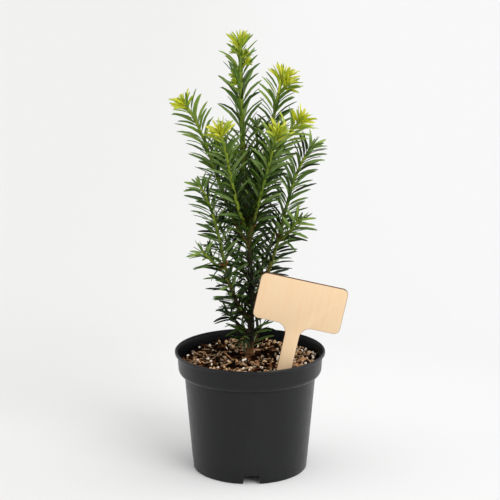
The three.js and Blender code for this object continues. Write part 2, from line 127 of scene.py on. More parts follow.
SHOOTS = (
    Shoot("right_long", 146, 4, 53, 283, 53.5, 49.5, 14, gap=0.95, twigs=(Twig(0.4, -40, 23, 22, 25, 45),)),
    Shoot("left_long", 126, -166, 45, 251, 51, 55.5, 14, twigs=(Twig(0.42, -152, 23, 18, 12, 38, gap=1.35),)),
    Shoot("left_high", 196, 176, 55.5, 319.5, 54.5, 52, 14, "pale", 1.15, (Twig(0.55, 60, 5, 21, 60, 75),)),
    Shoot(
        "right_high", 232, 12, 32.5, 341, 46, 63, 14, "bright",
        twigs=(Twig(0.86, -10, 9.5, 9.5, 30, 45, "sprig", 1.3), Twig(0.1, 75, 7, 58, 55, 84, gap=1.5)),
    ),
    Shoot("right_middle", 219, -12, 46.5, 307.5, 67, 45.5, 16, "feather"),
    Shoot("front_right", 204, -50, 38, 300.5, 66.5, 66.5, 12, "lime"),
    Shoot("front_left", 209, -129, 37.5, 300.5, 50.5, 62.5, 12, "gold"),
    Shoot("back_right", 199, 66, 38, 266, 45, 62, 13, "lime"),
    Shoot(
        "back_left", 205, 116, 36, 272, 48, 62, 12, "lime",
        twigs=(Twig(0.35, 172, 17, 42, 50, 66, gap=1.15),),
    ),
    Shoot("back_middle", 178, 92, 47, 236, 38, 52, 14),
    Shoot("back_low_right", 157, 52, 40, 212, 35, 55, 15),
    Shoot("back_low_left", 165, 130, 45, 212, 32, 55, 15),
    Shoot("front_low", 132, -140, 28, 172, 32, 60, 11, "old", 0.95),
    Shoot("back_foot", 134, 85, 34, 164, 25, 45, 12, "old"),
    Shoot("low_left", 118, 168, 21, 137, 25, 50, 8, "old", 1.7),
    Shoot("foot_left", 121, -120, 15, 116, 5, -40, 7, "old", 1.2),
    Shoot("foot_right", 115, 20, 11, 125, 20, 45, 6, "old", 1.7),
)
LEAVE_PULL = 0.35  # share of the straight length over which a stem keeps its first direction
TIP_PULL = 0.3  # the same, for the direction of its tip
TWIG_BARE = 4  # bare length at a twig's foot
LEADER_UPRIGHT = 0.24  # how much closer to its stem a needle stands on the leader

# Small side buds on the leader: height, compass direction, share of its needles that are yellow.
LEADER_BUDS = (
    (349.5, -8, 0.8),
    (357, -28, 0.15),
    (340, 172, 0),
    (333, 190, 0.1),
    (359, 160, 0.1),
    (352, 75, 0.3),
    (326, 100, 0.1),
)
# Old buds with dry scales: heights on the trunk, and places on shoots as a share of their length,
# each kind with how many scales a bud has and how long they are.
TRUNK_NODES = (219, 280)
TRUNK_SCALES = (26, 4)
FORK_NODES = (("left_long", 0.44), ("right_long", 0.42))
FORK_SCALES = (18, 3.4)
BOUGH_SCALES = (9, 2.6)
SIDE_BUD_SCALES = (4, 1.6)

# The crowd of needles at a tip and in a side bud, from the first needle to the last: distance from
# the tip, length, and angles from the stem at a needle's foot and at its own tip.
TUFT = {"back": (7, 0.2), "length": (17, 9), "base": (46, 5), "outer": (78, 14)}
SIDE_BUD = {"back": (3, 0.2), "length": (7.5, 5), "base": (38, 3), "outer": (60, 8)}
SIDE_BUD_CROWD = 14
SIDE_BUD_STALK = (4.6, 4.2, 35, 55)  # its reach, its rise, and how it leaves and ends


@dataclass(frozen=True)
class Growth:
    """How a stem ends: how far down the youngest and the fresh colour reach, how many needles crowd
    in its tuft, how likely the younger of the tuft's tones is at its foot and at its tip, the sizes
    of the tuft and of all its other needles, and the tuft's younger and older tone."""

    young: float
    fresh: float
    crowd: int
    youth: tuple
    tuft: float = 1
    size: float = 1
    tones: tuple = ("gold", "lime")


GROWTH = {
    "leader": Growth(9, 36, 22, (0.1, 0.5)),
    "gold": Growth(14, 31, 22, (0.55, 1)),
    "bright": Growth(17, 34, 25, (0.8, 1)),
    "sprig": Growth(7, 20, 8, (0.8, 1), 0.8),
    "feather": Growth(18, 36, 17, (0.3, 0.9), 0.88),
    "lime": Growth(13, 26, 20, (0.1, 0.6), 0.8),
    "pale": Growth(8, 44, 20, (0.3, 0.9), 0.85),
    "green": Growth(0, 6, 7, (0, 0.3), 0.95, 1, ("fresh", "middle")),
    "old": Growth(0, 0.1, 5, (0, 0.3), 1, 0.85, ("dark", "deep")),
}

# Swings round its stem, in degrees, that a needle tries in turn until nothing is in its way.
SWINGS = (0, 24, -24, 48, -48, 72, -72)

# Needle tones from the oldest to the youngest, then the bud scales': where each is, and the colours
# of its upper and lower side. The deep tone is painted shade on old needles.
NEEDLE_TONES = {
    "deep": ("Shaded old needles", "142406", "1f2e0e"),
    "dark": ("Old needles", "3a541a", "4e662e"),
    "middle": ("Needles of the last year", "536e2a", "688040"),
    "fresh": ("Needles near the tips", "6f8b2e", "7c923e"),
    "lime": ("Young needles", "9cae27", "aab842"),
    "gold": ("The youngest needles", "bebe22", "c6c642"),
    "scale": ("Dry bud scales", "55301a", "8a5a30"),
}
TONE = {name: number for number, name in enumerate(NEEDLE_TONES)}

# Tones of the mix's bits: what they are, their colour, the tone it is mottled with, and roughness.
MIX_TONES = {
    # The peat's near-black is the dark peat's own colour and painted shade: the mix's body takes it too, and
    # it shows in the gaps and bare patches between the loose bits.
    "peat": ("Wet peat", "060200", "peat_dry", 0.95),
    "peat_dry": ("Peat that has dried", "1a0d05", "bark_dark", 0.95),
    "bark_dark": ("Dark bark chips", "3c2210", "peat_dry", 0.85),
    "bark_red": ("Red-brown bark chips", "7c4a2c", "bark_dark", 0.8),
    "bark_tan": ("Tan bark chips", "bb9068", "bark_red", 0.8),
    "fibre": ("Dry fibres", "b39673", "bark_red", 0.85),
    "fibre_dark": ("Old fibres", "4a3019", "peat_dry", 0.85),
    "grain_white": ("Perlite", "f3e9da", "grain_cream", 0.8),
    "grain_cream": ("Vermiculite", "d2b48c", "bark_tan", 0.8),
    "grain_grey": ("Stone and dirty perlite", "9a8a78", "bark_dark", 0.85),
}

# Dark patches in the mix, with few bits in them, where the near-black body shows through as painted
# shade of hollows: centre and half sizes.
HOLLOWS = (
    (-33, 18, 9, 20),
    (19, 14, 8, 28),
    (-48, 24, 9, 10),
    (-5, 24, 11, 8),
    (-11, 0, 5, 10),
    (-15, -24, 6, 6),
)

# Where each kind of thing starts in the row of numbers that its chance values come from. A shoot
# has a hundred numbers to itself, and its twigs and its tuft start further on in that row.
SHOOT_SEEDS = 100
TWIG_SEED = 60
TUFT_SEED = 700
LEADER_SEED = 5000
TRUNK_SEED = 5300
SIDE_BUD_SEED = 8000
SCALES_SEED = 9000
TRUNK_SCALES_SEED = 9900
FORK_SCALES_SEED = 9990
CRUMBS_SEED = 11000
CHIPS_SEED = 23000
GRAINS_SEED = 37000
FIBRES_SEED = 51000
FIBRE_PLACES_SEED = 53000


# ---------------------------------------------------------------- settings


def length(name, description, millimetres):
    """A length that a user can change, given here in millimetres."""
    value = millimetres * MM
    return FloatProperty(name=name, description=description, default=value, min=0, precision=5, unit="LENGTH")


def angle(name, description, degrees):
    return FloatProperty(name=name, description=description, default=math.radians(degrees), unit="ROTATION")


def share(name, description, value):
    return FloatProperty(name=name, description=description, default=value, min=0)


def count(name, description, value):
    return IntProperty(name=name, description=description, default=value, min=1)


def colour(name, description, web):
    """A colour that a user can change, given here as a web colour."""
    parts = [int(web[i : i + 2], 16) / 255 for i in (0, 2, 4)]
    linear = [c / 12.92 if c <= 0.04045 else ((c + 0.055) / 1.055) ** 2.4 for c in parts]
    return FloatVectorProperty(
        name=name, description=description, default=(*linear, 1), size=4, min=0, max=1, subtype="COLOR"
    )


class PotSettings(bpy.types.PropertyGroup):
    """Outside sizes of the pot, from its lip to its feet."""

    height: length("Height", "From the ground to the top of the lip", POT_TOP.z / MM)
    wall: length("Wall", "Thickness of the plastic", 1.3)
    lip_radius: length("Lip radius", "Largest radius of the pot", POT_TOP.x / MM)
    lip_height: length("Lip height", "Height of the lip's band", 3.9)
    lip_bevel: length("Lip bevel", "How far the lip's edges are rounded", 1.0)
    collar_top: length("Collar top radius", "Radius just under the lip", 62.8)
    collar: length("Collar radius", "Radius where the collar starts to curve in", 62)
    underside_top: length("Underside top", "Height at which the collar starts to curve in", 89.4)
    underside_radius: length("Underside radius", "Radius of the collar's curved underside", 5.4)
    underside_sweep: angle("Underside sweep", "How far that curve turns before the crease", 80)
    shoulder: length("Shoulder radius", "Radius of the body under the crease", 56.8)
    shoulder_height: length("Shoulder height", "Height of the body's top", 83.9)
    foot: length("Foot radius", "Radius of the body at the ground", 49.7)
    foot_width: length("Foot width", "Width of the outer foot ring", 6)
    centre_foot: length("Centre foot radius", "Radius of the round foot in the middle", 15)
    arch: length("Arch", "How far the floor is raised between the feet", 7.5)
    arch_slope: length("Arch slope", "How far the sides of the raised floor lean", 3)
    step_height: length("Step height", "Height of the faint step round the body's foot", 9)
    step: length("Step", "How far the body stands back under that step", 0.25)
    notches: count("Notches", "Drain notches in the outer foot ring", 4)
    notch_width: length("Notch width", "Width of one drain notch at the ground", 17)
    notch_slope: length("Notch slope", "How far each side of a notch leans", 2.3)
    notch_turn: angle("Notch turn", "Compass direction of the first notch", -88.5)
    segments: count("Segments", "Sides of the turned shape", 160)
    plastic: colour("Plastic", "Black plastic", "07080a")
    scuffed: colour("Scuffed plastic", "Black plastic where it is rubbed", "101113")


class MixSettings(bpy.types.PropertyGroup):
    """The potting mix: its level, and the bits that lie on it."""

    centre: length("Centre level", "Height of the surface in the middle", 97)
    wall_level: length("Wall level", "Height of the surface at the pot's wall", 94.5)
    lump: length("Lump", "Height of the large lumps", 0.8)
    crumble: length("Crumble", "Height of the fine lumps", 3.2)
    radius: length("Radius", "Radius of the surface", 61.3)
    crumbs: count("Crumbs", "Dark crumbs of peat", 1500)
    chips: count("Chips", "Chips of bark", 470)
    fibres: count("Fibres", "Loose fibres", 350)
    grains: count("Grains", "Pale mineral grains", 430)


class LabelSettings(bpy.types.PropertyGroup):
    """The bare plywood label."""

    width: length("Width", "Width of the board", 74.3)
    height: length("Height", "Height of the board", 39.6)
    corner: length("Corner", "Radius of the board's corners", 5)
    stem_width: length("Stem width", "Width of the stem", 12.4)
    stem_offset: length("Stem offset", "How far the stem stands left of the board's middle", 0.8)
    stem_length: length("Stem length", "Length of the stem under the board", 90.7)
    point: length("Point", "Length of the stem's pointed end", 12)
    fillet: length("Fillet", "Radius between the board and its stem", 9)
    thickness: length("Thickness", "Thickness of the plywood", 2.9)
    edge: length("Edge", "Rounding of the cut edges", 0.32)
    lean: angle("Lean", "Clockwise, seen from the front", 12.5)
    wood: colour("Wood", "Pale birch", "e8d4b7")
    grain: colour("Grain", "Darker lines of the grain", "e8ccaa")
    warm: colour("Warm patch", "Warmer patches in the veneer", "ebcda6")
    charred: colour("Charred edge", "Edge burnt by the cutter", "4d3020")
    core: colour("Core", "Inner plies in the edge", "8a6240")


class StemSettings(bpy.types.PropertyGroup):
    """Radii and bark of the trunk, the boughs and the shoots."""

    trunk_foot: length("Trunk foot", "Radius of the trunk at the soil", 3.1)
    trunk_tip: length("Trunk tip", "Radius of the trunk's tip", 0.6)
    taper_power: share("Taper power", "Under 1, the trunk thins fastest near its foot", 0.85)
    flare: length("Root flare", "Added to the radius at the soil", 1.5)
    flare_height: length("Flare height", "Height over which the flare fades", 5)
    rind: length("Rind", "Green rind on the upper trunk", 1.05)
    shoot_foot: length("Shoot foot", "Radius of a shoot at its foot", 1.7)
    shoot_tip: length("Shoot tip", "Radius of a shoot at its tip", 1.05)
    collar: length("Branch collar", "Swelling where a bough leaves the trunk", 0.7)
    twig_share: share("Twig share", "Radius of a side twig, as a share of its parent's", 0.75)
    ring: length("Ring", "Length of one facet along a stem", 1.3)
    sides: count("Sides", "Facets round a stem", 10)
    relief: share("Relief", "Height of the bark's ridges, as a share of the radius", 0.13)
    bark: colour("Bark", "Old bark", "17110a")
    bark_light: colour("Light bark", "Bark at the very foot", "6c4826")
    olive: colour("Olive bark", "Bark that is turning brown", "56501d")
    green: colour("Green stem", "Stems of the last years", "667c24")
    lime: colour("Young stem", "Stems of this year", "889a30")


class NeedleSettings(bpy.types.PropertyGroup):
    """Size, spacing and tones of the needles."""

    needle_length: length("Length", "Length of a full needle", 22)
    spread: share("Length spread", "Difference between the longest and shortest, as a share", 0.28)
    width: length("Width", "Width of a full needle", 2.45)
    thickness: length("Thickness", "Thickness at the midrib", 0.8)
    spacing: length("Spacing", "Between needles on a shoot", 1.32)
    leader_spacing: length("Leader spacing", "Between needles on the leader", 1.75)
    old_spacing: length("Old spacing", "Between needles on the old trunk", 1.4)
    bare_foot: length("Bare foot", "Bare length where a bough leaves the trunk", 4)
    base_angle: angle("Base angle", "From the stem's direction at the needle's foot", 33)
    base_spread: angle("Base spread", "Range of the base angle", 9)
    outer_angle: angle("Outer angle", "From the stem's direction at the needle's tip", 65)
    outer_spread: angle("Outer spread", "Range of the outer angle", 13)
    comb: angle("Comb", "How far needles swing away from the front and back of a stem", 14.3)
    least_twist: angle("Least twist", "Smallest turn of a blade about its own midrib", 36)
    twist: angle("Twist", "Largest turn of a blade about its own midrib", 54)
    sway: angle("Sway", "Largest sideways bend", 9)
    young_reach: length("Young reach", "Stretch at a tip where needles are shorter", 18)
    young_share: share("Young share", "Length of the last needles, as a share of a full one", 0.62)
    old_droop: angle("Old droop", "How much wider the lowest needles stand", 14)
    young_close: angle("Young close", "How far the last needles close up", 14)
    clearance: length("Clearance", "Least distance between a blade and a limb", 0.3)


for tone, (what, web, _, _) in MIX_TONES.items():
    MixSettings.__annotations__[tone] = colour(tone.replace("_", " ").capitalize(), what, web)

for tone, (what, upper, under) in NEEDLE_TONES.items():
    title = tone.capitalize()
    below = colour(title + " underside", what + ", from below", under)
    NeedleSettings.__annotations__.update({tone: colour(title, what, upper), tone + "_under": below})


class StageSettings(bpy.types.PropertyGroup):
    """The floor, the lights and the camera."""

    camera_distance: length("Camera distance", "From the pot's axis, level", 1400)
    camera_height: length("Camera height", "Above the floor", 532)
    camera_pitch: angle("Camera pitch", "How far the camera looks down", 13.6)
    lens: FloatProperty(name="Lens", description="Focal length on a 36 mm sensor", default=121.6, min=1)
    floor_radius: length("Floor radius", "Radius of the pale floor", 40000)
    floor_left: colour("Floor left", "Pale floor on the left", "dbdbda")
    floor_right: colour("Floor right", "Pale floor on the right", "e1e1e1")
    near_lift: share("Near lift", "How much paler the floor is close to the pot", 1.12)
    sky: share("Sky", "Brightness of the pale surroundings", 0.44)
    sky_top: share("Sky top", "How much brighter they are overhead", 0.35)
    sky_front: share("Sky front", "How much brighter they are in front", 0.12)
    sky_sides: share("Sky sides", "How much brighter they are on either side", 1.45)
    sky_right: share("Sky right", "How much brighter the right is than the left", 0.27)
    key: share("Key light", "Strength of the soft light from the right", 1.3)
    key_softness: angle("Key softness", "Apparent size of the key light", 38)
    key_height: angle("Key height", "How steeply the key light comes down", 31)
    key_side: angle("Key side", "Compass direction that the key light comes from", -50)


def settings(context):
    """The groups of settings, by short name."""
    return {name: getattr(context.scene, "yew_" + name) for name in GROUPS}


# ---------------------------------------------------------------- curves and numbers


def jitter(number):
    """The same value from 0 to 1 for the same number, spread like a random draw."""
    x = np.sin(np.asarray(number, float) * 12.9898 + 4.1414) * 43758.5453
    return x - np.floor(x)


def mix(a, b, t):
    return a + (b - a) * t


def smooth(low, high, value):
    t = np.clip((value - low) / (high - low), 0, 1)
    return t * t * (3 - 2 * t)


def unit(v):
    return v / np.maximum(np.linalg.norm(v, axis=-1, keepdims=True), 1e-12)


def direction(compass, elevation):
    a, e = math.radians(compass), math.radians(elevation)
    return np.array([math.cos(a) * math.cos(e), math.sin(a) * math.cos(e), math.sin(e)])


def path_length(points):
    return float(np.linalg.norm(np.diff(points, axis=0), axis=1).sum())


class LimbPath:
    """A path by its length, in metres, with a frame that never twists, and a radius."""

    SAMPLES = 160

    def __init__(self, points, side, radius):
        self.points = points
        self.side = np.asarray(side, float)
        steps = np.linalg.norm(np.diff(points, axis=0), axis=1)
        self.at = np.concatenate([[0], np.cumsum(steps)])
        self.length = float(self.at[-1])
        self.tangents = unit(np.gradient(points, self.at, axis=0))
        self.radius = radius

    def frames(self, distances):
        """Point, tangent, normal and side at each distance; the path runs straight past its ends."""
        d = np.atleast_1d(np.asarray(distances, float))
        inside = np.clip(d, 0, self.length)
        point = np.stack([np.interp(inside, self.at, self.points[:, k]) for k in range(3)], axis=1)
        tangent = np.stack([np.interp(inside, self.at, self.tangents[:, k]) for k in range(3)], axis=1)
        tangent = unit(tangent)
        point = point + tangent * (d - inside)[:, None]
        normal = unit(np.cross(self.side, tangent))
        return point, tangent, normal, np.cross(tangent, normal)

    def at_height(self, height):
        """Distance at which a rising path reaches a height."""
        return float(np.interp(height, self.points[:, 2], self.at))


def through_points(points, samples):
    """A smooth curve through points, by the centripetal Catmull-Rom rule."""
    given = [np.asarray(p, float) for p in points]
    given = [2 * given[0] - given[1], *given, 2 * given[-1] - given[-2]]
    t = np.linspace(0, 1, samples // (len(points) - 1), endpoint=False)[:, None]
    curve = []
    for a, b, c, d in zip(given, given[1:], given[2:], given[3:]):
        before, here, after = (math.sqrt(np.linalg.norm(q - p)) for p, q in ((a, b), (b, c), (c, d)))
        start = ((b - a) / before - (c - a) / (before + here) + (c - b) / here) * here
        end = ((c - b) / here - (d - b) / (here + after) + (d - c) / after) * here
        square, cube = -3 * b + 3 * c - 2 * start - end, 2 * b - 2 * c + start + end
        curve.append(b + start * t + square * t**2 + cube * t**3)
    return np.concatenate([*curve, [given[-2]]])


def between_directions(start, end, leave, arrive, samples):
    """A cubic curve from start to end that leaves and arrives in given directions."""
    straight = np.linalg.norm(end - start)
    first = start + leave * straight * LEAVE_PULL
    second = end - arrive * straight * TIP_PULL
    t = np.linspace(0, 1, samples)[:, None]
    return (1 - t) ** 3 * start + 3 * (1 - t) ** 2 * t * first + 3 * (1 - t) * t**2 * second + t**3 * end


@dataclass
class Stem:
    """A stretch of a path that carries needles, from `first` to `end` along it; `begin` is where
    its own mass starts, past the bough. `upright` is how much closer to it the needles stand."""

    name: str
    path: LimbPath
    begin: float
    first: float
    end: float
    seed: int
    growth: str
    spacing: float
    has_tip: bool = True
    upright: float = 0


def trunk_path(stem):
    """The trunk's axis, with its taper, root flare and green rind."""
    points = through_points(TRUNK_AXIS, LimbPath.SAMPLES) * MM
    foot, tip, power = stem.trunk_foot, stem.trunk_tip, stem.taper_power
    full = path_length(points)

    def radius(d):
        along = np.clip(d, 0, full) / full
        flare = stem.flare * np.exp(-along * full / stem.flare_height)
        return mix(foot, tip, along**power) + flare + stem.rind * smooth(0.3, 0.75, along)

    return LimbPath(points, (0, 1, 0), radius)


def side_path(start, compass, reach, rise, leave, tip, radius):
    """The path of a shoot or twig that starts at a point; its radius depends on the share of its
    length and on the distance along it."""
    end = start + (direction(compass, 0) * reach + np.array([0, 0, rise])) * MM
    leaving, arriving = direction(compass, leave), direction(compass, tip)
    points = between_directions(start, end, leaving, arriving, LimbPath.SAMPLES)
    full = path_length(points)
    return LimbPath(points, direction(compass + 90, 0), lambda d: radius(np.clip(d / full, 0, 1), d))


def plan_stems(stem, needle):
    """The trunk's path, then every stem that carries needles, in a fixed order."""
    trunk = trunk_path(stem)
    foot, split = trunk.at_height(TRUNK_NEEDLES_FROM * MM), trunk.at_height(LEADER_FROM * MM)
    gap, old_gap = needle.leader_spacing, needle.old_spacing
    stems = [
        Stem("leader", trunk, split, split, trunk.length, LEADER_SEED, "leader", gap, True, LEADER_UPRIGHT),
        Stem("trunk_old", trunk, foot, foot, split, TRUNK_SEED, "green", old_gap, False),
    ]

    def shoot_radius(along, d):
        return mix(stem.shoot_foot, stem.shoot_tip, along) + stem.collar * np.exp(-d / (4 * stem.collar))

    def twig_radius(along, d):
        return mix(stem.shoot_foot * stem.twig_share, stem.shoot_tip, along)

    for index, shoot in enumerate(SHOOTS):
        start = trunk.frames(trunk.at_height(shoot.start * MM))[0][0]
        rise = shoot.top - shoot.start
        path = side_path(start, shoot.compass, shoot.reach, rise, shoot.leave, shoot.tip, shoot_radius)
        begin, first, seed = shoot.bough * MM, needle.bare_foot, SHOOT_SEEDS * index
        gap = needle.spacing * shoot.gap
        stems.append(Stem(shoot.name, path, begin, first, path.length, seed, shoot.growth, gap))
        for twig in shoot.twigs:
            fork = path.frames(path.length * twig.at)[0][0]
            side = side_path(fork, twig.compass, twig.reach, twig.rise, twig.leave, twig.tip, twig_radius)
            name, bare, gap = shoot.name + "_twig", TWIG_BARE * MM, needle.spacing * twig.gap
            stems.append(Stem(name, side, bare, bare, side.length, seed + TWIG_SEED, twig.growth, gap))
    return trunk, stems


# ---------------------------------------------------------------- meshes


def add_object(name, data):
    made = bpy.data.objects.new(name, data)
    bpy.context.scene.collection.objects.link(made)
    return made


def new_piece(name, mesh, materials, replaced=()):
    """A finished piece: it rides on the plant's only body and takes its finish from a slot."""
    for material in materials:
        mesh.materials.append(material)
    piece = add_object(name, mesh)
    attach(piece, "root")
    if replaced:
        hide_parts(*replaced)


def shade(mesh, crease_degrees):
    """Shades a mesh smooth but for edges sharper than the crease."""
    mesh.shade_smooth()
    mesh.set_sharp_from_angle(angle=math.radians(crease_degrees))
    return mesh


def plain_mesh(name, bm):
    mesh = bpy.data.meshes.new(name)
    bm.to_mesh(mesh)
    bm.free()
    return mesh


def finished_mesh(name, bm, crease_degrees):
    return shade(plain_mesh(name, bm), crease_degrees)


def joined_mesh(name, points, faces, tones, crease_degrees=50):
    """A mesh of many small things from arrays of points, face corners and material numbers."""
    mesh = bpy.data.meshes.new(name)
    mesh.from_pydata(points.tolist(), [], faces)
    mesh.polygons.foreach_set("material_index", tones)
    return shade(mesh, crease_degrees)


def repeated(faces, corners, copies):
    """The faces of a row of copies, each of which has so many corners."""
    return [tuple(i + copy * corners for i in face) for copy in range(copies) for face in faces]


def turned(bm, profile, segments):
    """Spins a profile of (radius, height) points into a closed shape round the Z axis."""
    corners = [bm.verts.new((r, 0, z)) for r, z in profile]
    edges = [bm.edges.new(pair) for pair in zip(corners, corners[1:])]
    round_z = {"axis": (0, 0, 1), "cent": (0, 0, 0), "angle": 2 * math.pi}
    bmesh.ops.spin(bm, geom=corners + edges, steps=segments, use_merge=True, **round_z)
    bmesh.ops.remove_doubles(bm, verts=bm.verts, dist=SAME)
    bmesh.ops.recalc_face_normals(bm, faces=bm.faces)


def ring_edges(bm, radius, height):
    """The edges of a turned shape that run round it at one radius and height."""

    def on_ring(v):
        return abs(math.hypot(v.co.x, v.co.y) - radius) < NEAR and abs(v.co.z - height) < NEAR

    return [e for e in bm.edges if on_ring(e.verts[0]) and on_ring(e.verts[1])]


def bent_limb(bm, path, start, end, sides, ring, relief):
    """A cylinder bent along a path, with its radius and relief set on the way; returns how far
    along the path each of its vertices lies."""
    first = len(bm.verts)
    bmesh.ops.create_cone(bm, cap_ends=True, segments=sides, radius1=1, radius2=1, depth=1)
    bm.verts.ensure_lookup_table()
    made = bm.verts[first:]
    upright = {e for v in made for e in v.link_edges if abs(e.verts[0].co.z - e.verts[1].co.z) > 0.5}
    cuts = max(3, round((end - start) / ring))
    bmesh.ops.subdivide_edges(bm, edges=list(upright), cuts=cuts, use_grid_fill=True)
    bm.verts.ensure_lookup_table()
    made = bm.verts[first:]
    distance = np.array([mix(start, end, v.co.z + 0.5) for v in made])
    turn = np.array([math.atan2(v.co.y, v.co.x) for v in made])
    point, _, normal, side = path.frames(distance)
    radius = path.radius(distance) * relief(point, distance, turn)
    around = normal * np.cos(turn)[:, None] + side * np.sin(turn)[:, None]
    places = point + around * radius[:, None]
    for v, place in zip(made, places):
        v.co = place
    return distance


# ---------------------------------------------------------------- needles

# Stations along a blade, from its foot to its point, and the width there as a share of the full.
BLADE_AT = np.array([0, 0.03, 0.1, 0.28, 0.55, 0.82, 0.95, 1])
BLADE_WIDTH = np.array([0, 0.42, 0.8, 1.0, 1.0, 0.8, 0.4, 0])
# Corners of a blade's section, as shares of its half width and of its thickness. The strips between
# the first corners are the blade's upper side, and the outer two of them are its margins, which
# needles take a tone darker as painted shade, leaving a painted highlight down the middle.
BLADE_SECTION = np.array([(-1, 0.05), (-0.5, 0.32), (0, 0.5), (0.5, 0.32), (1, 0.05), (0, -0.4)])
UPPER_STRIPS = 4
MARGINS = (0, UPPER_STRIPS - 1)
FREE_FROM = 3  # the first station that has to be clear of other things
LIMB_SPOTS = 60  # places along a limb at which that is looked at
ROOT_DEPTH = 0.55  # where a blade starts, as a share of its stem's radius
TURN_SPREAD = 9  # degrees over which blades stand off the golden angle
LEADER_SIZES = (1.36, 0.88)  # of the leader's needles, low on it and near its tip
LEADER_LOOSE = 5  # how much more their angles vary, times how upright they stand
LEADER_CLOSE = (1.4, 0.2)  # how much less they lean at their foot and at their tip, times the same
DROOP_SHARES = (1.6, 0.8)  # how much the lowest needles droop, at their foot and at their tip
END_BARE = 0.5  # bare length at a stem's very end


@dataclass
class Blades:
    """Rows of blades: each has a root, the frame it grows in, its angles, size and tone."""

    root: np.ndarray
    axis: np.ndarray
    outward: np.ndarray
    base: np.ndarray
    outer: np.ndarray
    sway: np.ndarray
    twist: np.ndarray
    size: np.ndarray
    width: np.ndarray
    thickness: np.ndarray
    tone: np.ndarray

    def __len__(self):
        return len(self.size)

    def chosen(self, keep):
        return Blades(*(getattr(self, name)[keep] for name in self.__dataclass_fields__))

    def swung(self, swing):
        """The same blades, swung by an angle round their stems."""
        flat = np.cross(self.axis, self.outward)
        return replace(self, outward=self.outward * math.cos(swing) + flat * math.sin(swing))

    @staticmethod
    def joined(parts):
        names = Blades.__dataclass_fields__
        return Blades(*(np.concatenate([getattr(part, name) for part in parts]) for name in names))

    def spine(self):
        """Points, directions and width directions at each station, one row for each blade."""
        place, places, ways, acrosses = self.root, [self.root], [], []
        for a, b in zip(BLADE_AT, BLADE_AT[1:]):
            way, _ = self._way((a + b) / 2)
            place = place + way * ((b - a) * self.size)[:, None]
            places.append(place)
        for at in BLADE_AT:
            way, across = self._way(at)
            ways.append(way)
            acrosses.append(across)
        return (np.stack(rows, axis=1) for rows in (places, ways, acrosses))

    def _way(self, at):
        """A blade's direction and width direction at a share of its length."""
        tilt = mix(self.base, self.outer, smooth(0, 1, at) * 0.6 + at * 0.4)
        flat = np.cross(self.axis, self.outward)
        turn = self.sway * at
        out = self.outward * np.cos(turn)[:, None] + flat * np.sin(turn)[:, None]
        way = self.axis * np.cos(tilt)[:, None] + out * np.sin(tilt)[:, None]
        across = unit(np.cross(self.axis, out))
        up = np.cross(across, way)
        twist = self.twist * smooth(0, 0.3, at)
        return way, across * np.cos(twist)[:, None] + up * np.sin(twist)[:, None]

    def mesh(self, margins):
        """Points, faces and material numbers; each tone has one material above and one below, and
        the margins above take the tones given for them."""
        places, ways, acrosses = self.spine()
        up = np.cross(acrosses, ways)
        corners, rings = len(BLADE_SECTION), len(BLADE_AT) - 2
        half = (self.width / 2)[:, None] * BLADE_WIDTH[None, 1:-1]
        thick = self.thickness[:, None] * np.sqrt(BLADE_WIDTH[None, 1:-1])
        around = (
            places[:, 1:-1, None]
            + acrosses[:, 1:-1, None] * (half[:, :, None] * BLADE_SECTION[:, 0])[..., None]
            + up[:, 1:-1, None] * (thick[:, :, None] * BLADE_SECTION[:, 1])[..., None]
        )
        points = np.concatenate([places[:, :1], around.reshape(len(self), -1, 3), places[:, -1:]], axis=1)
        per_blade = points.shape[1]
        faces = []
        for c in range(corners):
            d = (c + 1) % corners
            lows = range(1, 1 + (rings - 1) * corners, corners)
            faces.append((0, 1 + d, 1 + c))
            faces += [(low + c, low + d, low + corners + d, low + corners + c) for low in lows]
            faces.append((per_blade - 1 - corners + c, per_blade - 1 - corners + d, per_blade - 1))
        strips = np.repeat(np.arange(corners), rings + 1)
        tones = np.where(np.isin(strips, MARGINS), margins[:, None], self.tone[:, None])
        numbers = (tones * 2 + (strips >= UPPER_STRIPS)).reshape(-1)
        return points.reshape(-1, 3), repeated(faces, per_blade, len(self)), numbers


def blades_on(path, distance, number, base, outer, size, width, thickness, tone, needle, comb=1):
    """Blades that stand round a path by the golden angle, combed to its sides by a share of the full."""
    point, tangent, normal, side = path.frames(distance)
    turn = np.radians(number * GOLDEN_ANGLE + TURN_SPREAD * (jitter(number + 0.1) - 0.5))
    front = np.arctan2(-side[:, 1], -normal[:, 1])
    turn = turn + comb * needle.comb * np.sin(2 * (turn - front))
    outward = normal * np.cos(turn)[:, None] + side * np.sin(turn)[:, None]
    root = point + outward * (path.radius(distance) * ROOT_DEPTH)[:, None]
    sway = needle.sway * (2 * jitter(number + 0.45) - 1)
    sign = np.where(jitter(number + 0.35) < 0.5, -1, 1)
    twist = sign * mix(needle.least_twist, needle.twist, jitter(number + 0.8))
    width, thickness, tone = (np.broadcast_to(value, len(number)) for value in (width, thickness, tone))
    return Blades(root, tangent, outward, base, outer, sway, twist, size, width, thickness, tone)


def between(low, high, value):
    """How far a length has come from one to another given in millimetres, eased at both ends."""
    return smooth(low * MM, high * MM, value)


